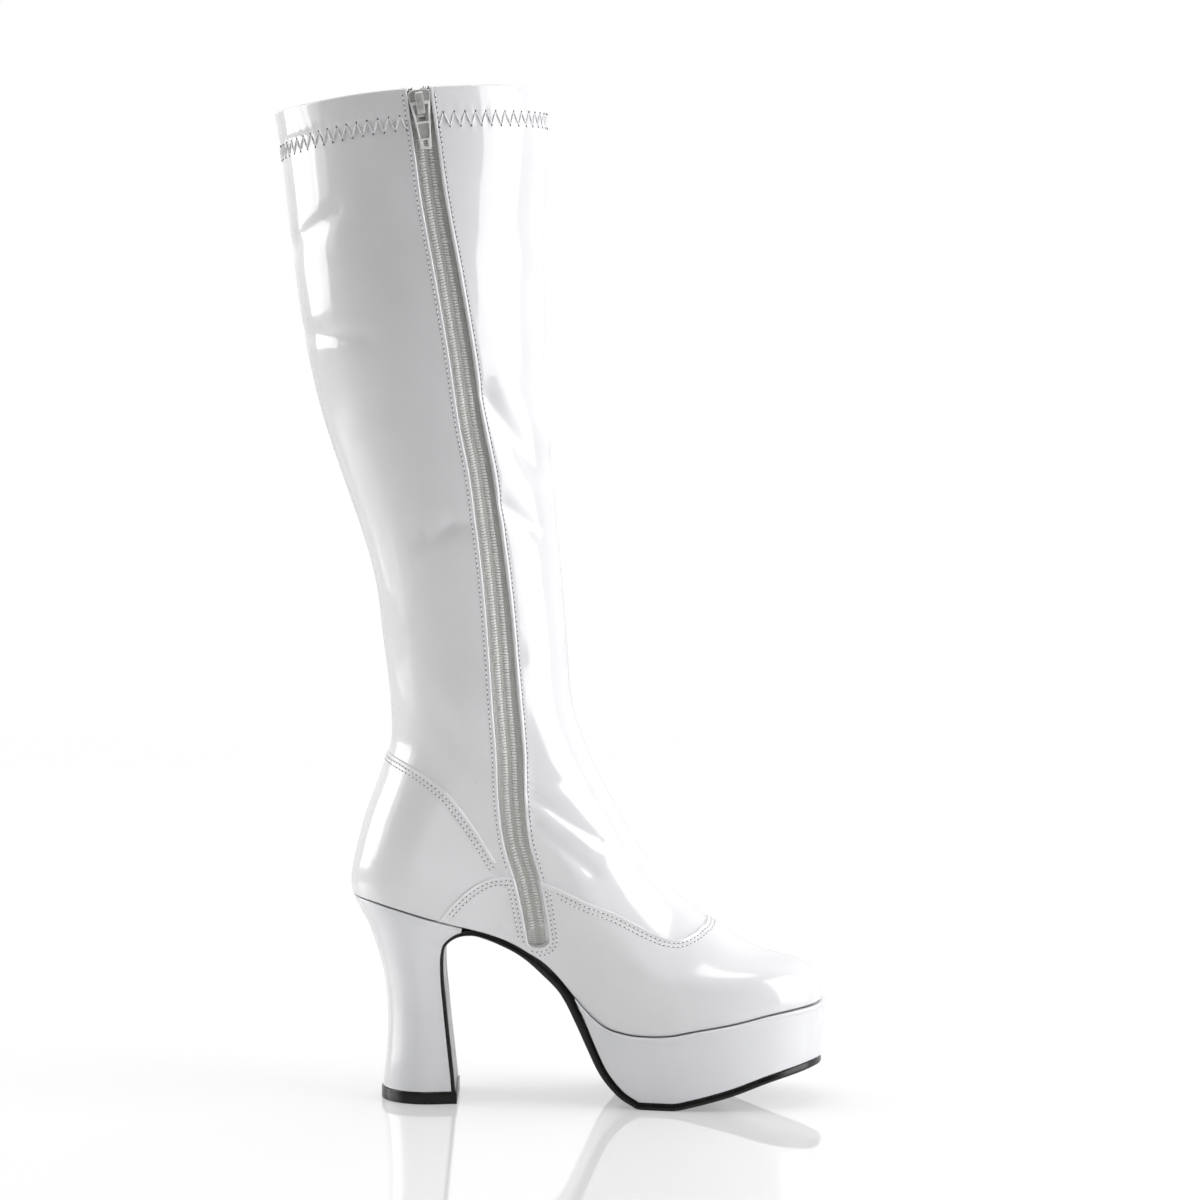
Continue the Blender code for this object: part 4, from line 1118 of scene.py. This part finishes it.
def make_heel():
    """The wrapped heel, from the lift up to its cupped seat."""
    tip = sole_point(HEEL_TIP, 2)[0]
    rows = [(row, along(back), up * HEEL_HEIGHT, width, follow) for row, back, up, width, follow in HEEL]
    rows.append((HEEL_TIP, along(0), feather(along(0)) - SEAT_GAP, 1.0, 1.0))
    table = np.column_stack([np.arange(len(rows)), np.array(rows)])
    levels = []
    last = len(rows) - 1
    for place in np.concatenate([np.linspace(0, last, 90), np.full(5, last)]):
        row, back_x, back_z, width, follow = smooth(table, place)
        half = (HEEL_BASE_WIDTH + width * (HEEL_TOP_WIDTH - HEEL_BASE_WIDTH)) / 2
        front = sole_point(row, 2)
        if place == last:
            front = np.array([tip, feather(tip) - SEAT_GAP])
        levels.append(heel_ring((back_x, back_z), front, half, follow))
    rim = 0.5 * MM
    for level, angle in zip(levels[-5:], np.linspace(0, math.pi / 2, 5)):
        for side, way in zip(level, (-1, 1)):
            side[:, 1] -= way * rim * (1 - math.cos(angle))
            side[:, 2] -= rim * (1 - math.sin(angle))
    return banded("heel_wrap", levels[:-6] + levels[-5:], WRAP)


def make_lift():
    back = along(HEEL[0, 1]) - LIFT_PROUD
    front = sole_point(len(SOLE) - 1)[0] + LIFT_PROUD
    half = HEEL_BASE_WIDTH / 2 + LIFT_PROUD
    bevel = 0.5 * MM
    levels = []
    for low, high in ((0.0, bevel), (LIFT_THICKNESS - bevel, LIFT_THICKNESS)):
        for share in np.linspace(0, 1, 4):
            z = low + (high - low) * share
            part = 1 - share if low == 0.0 else share
            inset = bevel * (1 - math.sqrt(1 - part**2))
            levels.append(heel_ring((back, z), (front, z), half, 0.0, inset))
    return banded("lift_block", levels, BLACK)


# Stitching


def threads(name, starts, ends, out_of, radius, material, lift=0.55):
    """Sewn threads between pairs of places on the face, dipping into the sheet at both ends."""
    part = np.array([0.03, 0.12, 0.3, 0.5, 0.7, 0.88, 0.97])
    raised = np.array([-0.9, 0.0, lift, lift + 0.1, lift, 0.0, -0.9]) * radius
    width = np.array([0.4, 0.85, 1, 1, 1, 0.85, 0.4])[:, None, None] * radius
    level = starts[0][:, None] * (1 - part) + ends[0][:, None] * part
    turn = starts[1][:, None] * (1 - part) + ends[1][:, None] * part
    normal = normal_at(level, turn)
    points = surface(level, turn) + normal * (out_of(level, turn) + raised)[..., None]
    return many(name, rings_round(points, normal, width, 6), material)


def rings_round(points, normal, width, sides):
    """Rings of points round many lines, whose flat side is given by a normal at each point."""
    tangent = unit(np.gradient(points, axis=1))
    side = unit(np.cross(tangent, normal))
    other = np.cross(side, tangent)
    angle = np.linspace(0, 2 * math.pi, sides, endpoint=False)[:, None]
    ring = side[:, :, None] * np.cos(angle) + other[:, :, None] * np.sin(angle)
    return points[:, :, None] + width * ring


def sewn(name, line, keep, out_of):
    """A row of stitches along a line on the face, with the needle holes between them shown as dark marks
    of painted shade.
    """
    places = evenly(surface(*line), STITCH)
    level, turn = picked(line[0], places), picked(line[1], places)
    shown = keep(surface(level, turn))
    pair = np.where(shown[:-1] & shown[1:])[0]

    def between(share):
        rest = 1 - share
        return [each[pair] * rest + each[pair + 1] * share for each in (level, turn)]

    inset, hole = 0.16, 0.13  # shares of a stitch
    pieces = [threads(name, between(inset), between(1 - inset), out_of, 0.30 * MM, THREAD)]
    # Dark marks at the needle holes: painted shade
    pieces.append(threads(name + "_hole_shades", between(-hole), between(hole), out_of, 0.27 * MM, HOLE_SHADE, 0.1))
    return pieces


def zigzag(name, line, out_of):
    """The hem's zigzag row round the collar, with dark marks of painted shade at its needle holes."""
    places = evenly(surface(*line), HEM_PITCH / 2)
    level, turn = picked(line[0], places), picked(line[1], places)
    way = np.where(np.arange(len(level)) % 2, 1, -1) * HEM_HALF
    level = level + way / rise_rate(level, turn)
    legs = (level[:-1], turn[:-1]), (level[1:], turn[1:])
    pieces = [threads(name, *legs, out_of, 0.36 * MM, THREAD, 0.8)]
    step = 0.35 * MM / rise_rate(level, turn)
    holes = (level - step, turn), (level + step, turn)
    # Dark marks at the needle holes: painted shade
    pieces.append(threads(name + "_hole_shades", *holes, out_of, 0.34 * MM, HOLE_SHADE, 0.1))
    return pieces


def make_stitching():
    def under_vamp(points, by):
        return points[:, 2] < vamp_height(points[:, 0]) - by

    def clear_of_slot(points, by):
        return distance_to(points, SLOT_OUTLINE, 8 * MM) > by

    def under_collar(points):
        return collar_height(points[:, 0]) - points[:, 2] > 1 * MM

    def over_floor(points):
        return points[:, 2] > feather(points[:, 0]) + 2.2 * MM

    def on_vamp(points):
        return clear_of_slot(points, 5.0 * MM) & over_floor(points)

    def on_counter(points):
        return clear_of_slot(points, 2.9 * MM) & ~under_vamp(points, -1.0 * MM)

    inner_row, outer_row = (beside(*SLOT, distance) for distance in SLOT_ROWS)
    pieces = sewn("slot_row", inner_row, lambda p: under_collar(p) & ~under_vamp(p, -0.6 * MM), sheet_out)
    for name, row in (("slot_inner_row", inner_row), ("slot_outer_row", outer_row)):
        pieces += sewn(name, row, lambda p: under_vamp(p, 1.6 * MM) & over_floor(p), vamp_out)
    panels = ("vamp", VAMP_LINE, on_vamp, vamp_out), ("counter", COUNTER_LINE, on_counter, counter_out)
    for panel, line, keep, out_of in panels:
        for row, distance in PANEL_ROWS:
            pieces += sewn(f"{panel}_{row}_row", beside(*line, -distance), keep, out_of)
    hem_level, free = 0.985, 0.035  # free is the turn left bare beside the slot
    front_turn, rear_turn = slot_turn(hem_level, 1) + 2 * math.pi, slot_turn(hem_level, -1)
    turn = np.linspace(rear_turn + free, front_turn - free, 1200)
    level = 1 - HEM_DROP / rise_rate(0.98 + 0 * turn, turn)
    pieces += zigzag("hem_zigzag", (level, turn), sheet_out)
    return pieces


# Zip


def on_zip(length, across):
    """Level and turn of places a length up the zip and a distance across it."""
    middle, _, sideways = zip_frame(length / ZIP_HEIGHT)
    place = middle + sideways * across[..., None]
    return inner_side(place[..., 0], place[..., 1])


def zip_strip(name, run, across, out_at, material):
    """A strip behind the slot over a run of lengths up the zip."""
    length, across = np.meshgrid(np.linspace(*run, 420), np.array(across) * MM, indexing="ij")
    return skin(name, [shell(*on_zip(length, across), out_at(across))], material)


def make_tape():
    half, ribbed = 12, 3.2
    edge = np.linspace(-half, -ribbed - 0.2, 9)
    across = [*edge, *np.linspace(-ribbed, ribbed, 33), *-edge[::-1]]

    def out_at(across):
        return TAPE_FACE + np.interp(np.abs(across) / MM, TAPE_RIB[:, 0], TAPE_RIB[:, 1]) * MM

    return zip_strip("tape", (-SLOT_WIDTH / 2, ZIP_HEIGHT - TAPE_DROP), across, out_at, TAPE)


def make_valley_shade():
    """A darker strip between the two rows of the coil: painted shade in the gap."""
    run = -3 * MM, ZIP_HEIGHT - SLIDER_DROP
    across = np.linspace(-1.45, 1.45, 9)
    return zip_strip("zip_valley_shade", run, across, lambda across: TAPE_FACE + 0.32 * MM + 0 * across, VALLEY_SHADE)


def make_coil():
    """Both rows of the coil, turn by turn, meshing in the middle."""
    rows = np.arange(SLOT_WIDTH * 0.9, ZIP_HEIGHT - SLIDER_DROP + SLIDER_LENGTH / 2, COIL_PITCH)
    shapes = []
    for way in (-1, 1):
        across, height, up = COIL_TURN.T * MM
        length = rows[:, None] + up + (COIL_PITCH / 2 if way > 0 else 0)
        level, turn = on_zip(length, way * across + 0 * length)
        normal = normal_at(level, turn)
        points = surface(level, turn) + normal * (TAPE_FACE + height)[:, None]
        shapes.append(rings_round(points, normal, 0.54 * MM, 7))
    return many("coil", np.concatenate(shapes), COIL)


def slider_place():
    """The slider's frame: middle of its plate's outer face, with x across the zip to the toe,
    y up along it and z out of the boot."""
    middle, run, _ = zip_frame(1 - SLIDER_DROP / ZIP_HEIGHT)
    level, turn = inner_side(middle[0], middle[1])
    here = shell(level, turn, 0.0)
    out = shell(level, turn, 1.0) - here
    above = middle + run * SLIDER_LENGTH / 2
    below = middle - run * SLIDER_LENGTH / 2
    ends = [surface(*inner_side(place[0], place[1])) for place in (below, above)]
    upward = ends[1] - ends[0]
    upward /= np.linalg.norm(upward)
    out -= upward * (out @ upward)
    out /= np.linalg.norm(out)
    side = np.cross(upward, out)
    face = here + out * (CHAIN_FACE + GAP + SLIDER_PLATE)
    turned = np.eye(4)
    turned[:3, 0], turned[:3, 1], turned[:3, 2], turned[:3, 3] = side, upward, out, face
    return Matrix(turned)


def rounded(width_low, width_high, low, high, radius, steps=6, radius_low=None):
    """Outline of a tapered plate with round corners: widths at its lower and upper ends."""
    foot = radius if radius_low is None else radius_low
    corners = [
        (width_high / 2 - radius, high - radius, 0, radius),
        (-width_high / 2 + radius, high - radius, 1, radius),
        (-width_low / 2 + foot, low + foot, 2, foot),
        (width_low / 2 - foot, low + foot, 3, foot),
    ]
    points = []
    for x, y, quarter, reach in corners:
        for step in range(steps + 1):
            angle = math.pi / 2 * (quarter + step / steps)
            points.append((x + reach * math.cos(angle), y + reach * math.sin(angle)))
    return points


def cut_plate(name, outlines, low, high, bevel, material, place):
    """A plate with bevelled edges between two heights; outlines after the first are its holes."""
    curve = bpy.data.curves.new(name, "CURVE")
    curve.dimensions = "2D"
    curve.fill_mode = "BOTH"
    curve.extrude = (high - low) / 2 - bevel
    curve.bevel_depth = bevel
    curve.bevel_resolution = 2
    curve.offset = -bevel
    for outline in outlines:
        spline = curve.splines.new("POLY")
        spline.points.add(len(outline) - 1)
        spline.use_cyclic_u = True
        for point, (x, y) in zip(spline.points, outline):
            point.co = (x, y, 0, 1)
    shape = placed(name + "_curve", curve)
    graph = bpy.context.evaluated_depsgraph_get()
    mesh = bpy.data.meshes.new_from_object(shape.evaluated_get(graph))
    bpy.data.objects.remove(shape)
    mesh.transform(place @ Matrix.Translation((0, 0, (low + high) / 2)))
    mesh.materials.clear()
    return new_object(name, mesh, material, 35)


def make_slider():
    place = slider_place()
    low, high = -SLIDER_LENGTH / 2, SLIDER_LENGTH / 2
    waist = SLIDER_WIDTH * SLIDER_WAIST_SHARE
    body = rounded(waist, SLIDER_WIDTH, low, high, SLIDER_CORNER * 1.6, 8, SLIDER_CORNER)
    pieces = [cut_plate("slider_plate", [body], -SLIDER_PLATE, 0, 0.25 * MM, PAINT, place)]
    inset = 1.3 * MM
    floor, roof = low + inset / 2, high - inset / 2
    well = rounded(waist - inset, SLIDER_WIDTH - inset, floor, roof, SLIDER_CORNER * 1.2, 8)
    # The rim round the plate is coloured near white: painted highlight
    pieces.append(cut_plate("slider_rim", [body, well], -0.4 * MM, 0.3 * MM, 0.22 * MM, EDGE_HIGHLIGHT, place))
    reach = SLIDER_LENGTH * BRIDGE_REACH_SHARE
    turns = np.linspace(0, math.pi, 41)
    half = reach - BRIDGE_STRIP / 2, BRIDGE_RISE - BRIDGE_STRIP / 2
    y = half[0] * np.sign(np.cos(turns)) * np.abs(np.cos(turns)) ** 0.45
    z = half[1] * np.sin(turns) ** 0.45
    z[[0, -1]] = -0.6 * MM
    path = np.column_stack([0 * y, y, z])
    along_path = unit(np.gradient(path, axis=0))
    up = np.cross(along_path, np.array([-1.0, 0.0, 0.0]))
    flat = rounded(BRIDGE_WIDTH, BRIDGE_WIDTH, -BRIDGE_STRIP / 2, BRIDGE_STRIP / 2, 0.28 * MM, 4)
    wide, high = np.array(flat).T
    ring = np.stack([wide, 0 * wide, 0 * wide], axis=-1) + up[:, None] * high[:, None]
    bridge = many("slider_bridge", [path[:, None] + ring], PAINT, sharp=50)
    # Thin near-white rails along the bridge's edges: painted highlight
    rails = []
    for way in (-1, 1):
        rail = path + way * np.array([BRIDGE_WIDTH / 2 - 0.22 * MM, 0, 0]) + up * BRIDGE_STRIP * 0.42
        rails.append(rings_round(rail[None], up[None], 0.26 * MM, 8)[0])
    edges = many("slider_bridge_edges", rails, EDGE_HIGHLIGHT)
    for piece in (bridge, edges):
        piece.data.transform(place)
    return [*pieces, bridge, edges]


def make_pull():
    place = slider_place() @ Matrix.Translation((0, 0, PIN_HEIGHT))
    bar = PULL_PIN / 2
    low = bar - PULL_LENGTH
    reach = math.hypot(SLIDER_LENGTH * BRIDGE_REACH_SHARE, BRIDGE_RISE) + 2 * PIN_CLEARANCE
    window = BRIDGE_WIDTH + 1.2 * MM
    body = rounded(PULL_END_WIDTH, PULL_TOP_WIDTH, low, bar, 1.0 * MM, 6, 0.8 * MM)
    top = rounded(window * 0.8, window, -reach - 1.6 * MM, -bar, 0.5 * MM, 8, window * 0.39)
    lower_y = low + 1.1 * MM
    lower = rounded(1.9 * MM, 2.2 * MM, lower_y, lower_y + 3.2 * MM, 0.5 * MM, 6)
    half = PULL_THICKNESS / 2
    pieces = [cut_plate("pull_body", [body, top, lower], -half, -0.1 * MM, 0.12 * MM, PAINT, place)]

    def inner(inset, low_y, high_y):
        def width(y):
            share = (y - low) / PULL_LENGTH
            return PULL_END_WIDTH + (PULL_TOP_WIDTH - PULL_END_WIDTH) * share - 2 * inset

        return rounded(width(low_y), width(high_y), low_y, high_y, 0.5 * MM)

    rim = 0.85 * MM
    panel = inner(rim, lower_y + 3.9 * MM, -reach - 2.6 * MM)
    eye = inner(rim, -reach - 1.7 * MM, -bar - 0.1 * MM)
    frame_holes = [body, eye, panel, lower]
    # The pull's raised rim is coloured near white: painted highlight
    pieces.append(cut_plate("pull_rim", frame_holes, -half, half, 0.26 * MM, EDGE_HIGHLIGHT, place))
    return pieces


def make_tape_ends():
    """The tape's frayed ends, which stand up on both sides of the slider; their dark colour is painted
    shade for the shadowed gaps between the tape's threads.
    """
    rng = np.random.default_rng(7)
    shapes = []
    for way in (-1, 1):
        for i in range(46):
            length = ZIP_HEIGHT - rng.uniform(0.6, 5.0) * MM
            across = way * rng.uniform(2.6, 4.9) * MM
            start = shell(*on_zip(np.array(length), np.array(across)), TAPE_FACE)
            side, out, up = rng.uniform(-0.8, 0.8), rng.uniform(0.2, 1.6), rng.uniform(0.2, 1.9)
            reach = np.array([way * side, -out, up]) * MM
            bend = rng.uniform(-0.4, 0.4, 3) * MM
            part = np.linspace(0, 1, 5)[:, None]
            shapes.append(start + reach * part + bend * np.sin(math.pi * part))
    points = np.array(shapes)
    normal = np.broadcast_to([0.0, -1.0, 0.0], points.shape)
    return many("tape_ends", rings_round(points, normal, 0.16 * MM, 5), FRAY_SHADE)


# Dressing

upper = [make_shaft(), skin("vamp", make_vamp(), PATENT), make_counter()]
for piece in upper:
    dress(piece, "boot", "patent", "upper")
for piece in make_stitching():
    dress(piece, "boot", "zip_textile", "upper")
dress(make_lining(), "boot", "lining", "upper")
dress(make_platform(), "boot", "patent", "platform")
dress(make_outsole(), "boot", "sole", "outsole")
dress(make_heel(), "boot", "patent", "heel")
dress(make_lift(), "boot", "sole", "heel_lift")
# The valley strip is painted shade: a darker textile laid between the coil's rows
for piece in (make_tape(), make_valley_shade(), make_tape_ends()):
    dress(piece, "boot", "zip_textile", "zip_tape")
dress(make_coil(), "boot", "zip_coil", "zip_chain")
for piece in make_slider():
    dress(piece, "boot", "zip_metal", "zip_slider")
for piece in make_pull():
    dress(piece, "pull", "zip_metal", "zip_pull")
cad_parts["insole"].data.materials.clear()
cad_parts["insole"].data.materials.append(LINING)


# Stage


def make_floor():
    """A glossy pale floor whose far part is as bright as the backdrop."""
    reach = 30.0
    mesh = bpy.data.meshes.new("floor")
    corners = [(-reach, -reach, 0), (reach, -reach, 0), (reach, reach, 0), (-reach, reach, 0)]
    mesh.from_pydata(corners, [], [(0, 1, 2, 3)])
    made, shader, tree = shader_of("pale_floor", grey(0.62), 0.04, IOR=1.5)
    tree.links.new(spread(tree, pattern(tree, 2), 0.03, 0.05), shader.inputs["Roughness"])
    seen = tree.nodes.new("ShaderNodeLightPath").outputs["Is Camera Ray"]
    glow = spread(tree, seen, 0, FLOOR_GLOW, 0, 1)
    tone = tinted(tree, seen, grey(0.82), grey(0.5), 0, 1)
    tree.links.new(tone, shader.inputs["Base Color"])
    tree.links.new(glow, shader.inputs["Emission Strength"])
    shader.inputs["Emission Color"].default_value = (1, 1, 1, 1)
    mesh.materials.append(made)
    floor = placed("floor", mesh)


def area_light(name, place, aim, width, height, power, colour=(1, 1, 1), beam=180, hides=""):
    """A softbox whose beam, in degrees, a grid can narrow; it can be hidden from matt or gloss."""
    data = bpy.data.lights.new(name, "AREA")
    data.shape = "RECTANGLE"
    data.size, data.size_y = width, height
    data.energy = power
    data.color = colour
    data.spread = math.radians(beam)
    light = placed(name, data)
    light.visible_diffuse = hides != "matt"
    light.visible_glossy = hides != "gloss"
    light.location = place
    light.rotation_euler = (Vector(aim) - Vector(place)).to_track_quat("-Z", "Y").to_euler()


def make_world():
    """A bright studio behind the boot, darker towards the camera."""
    world = bpy.data.worlds.new("studio")
    world.use_nodes = True
    tree = world.node_tree
    place = tree.nodes.new("ShaderNodeTexCoord").outputs["Generated"]
    parts = tree.nodes.new("ShaderNodeSeparateXYZ")
    tree.links.new(place, parts.inputs["Vector"])
    depth = spread(tree, parts.outputs["Y"], 0, 1, -0.5, 0.5)
    glow = tinted(tree, depth, STUDIO_FRONT, STUDIO_BACK, 0, 1)
    seen = tree.nodes.new("ShaderNodeLightPath").outputs["Is Camera Ray"]
    both = tree.nodes.new("ShaderNodeMix")
    both.data_type = "RGBA"
    tree.links.new(seen, both.inputs["Factor"])
    tree.links.new(glow, both.inputs["A"])
    both.inputs["B"].default_value = (1, 1, 1, 1)
    tree.links.new(both.outputs["Result"], tree.nodes["Background"].inputs["Color"])
    bpy.context.scene.world = world


def make_camera():
    data = bpy.data.cameras.new("camera")
    data.lens = LENS
    data.sensor_width = 36
    camera = placed("camera", data)
    camera.location = CAMERA_PLACE
    camera.rotation_euler = (math.radians(90 - CAMERA_DIP), 0, 0)
    bpy.context.scene.camera = camera


CAMERA_PLACE = (0.0867, -1.9, 0.38)
CAMERA_DIP = 4.249  # degrees under the horizon
LENS = 120
FLOOR_GLOW = 0.32
STUDIO_FRONT = (0.07, 0.07, 0.073)
STUDIO_BACK = (0.95, 0.95, 0.96)
WARM = (1.0, 0.995, 0.98)
make_floor()
make_world()
area_light("right_wall", (1.5, -0.39, 0.65), (0.05, 0, 0.25), 1.2, 1.6, 21, (0.985, 0.98, 1.0))
area_light("left_wall", (-1.6, -0.35, 0.8), (0.0, 0, 0.25), 0.5, 1.2, 2.5, WARM)
area_light("left_strip", (-1.45, 0.10, 0.75), (0.0, 0, 0.28), 0.5, 0.9, 7, WARM, hides="gloss")
area_light("left_gloss", (-1.45, 0.28, 0.63), (0.0, 0, 0.28), 1.1, 1.0, 13, WARM, hides="matt")
area_light("low_fill", (0.04, -0.62, 0.02), (0.05, 0, 0.05), 0.9, 0.12, 0.17, beam=50, hides="gloss")
area_light("top_box", (0.1, -0.1, 1.9), (0.05, 0, 0.2), 1.2, 1.0, 10)
make_camera()
bpy.context.scene.view_settings.view_transform = "Standard"
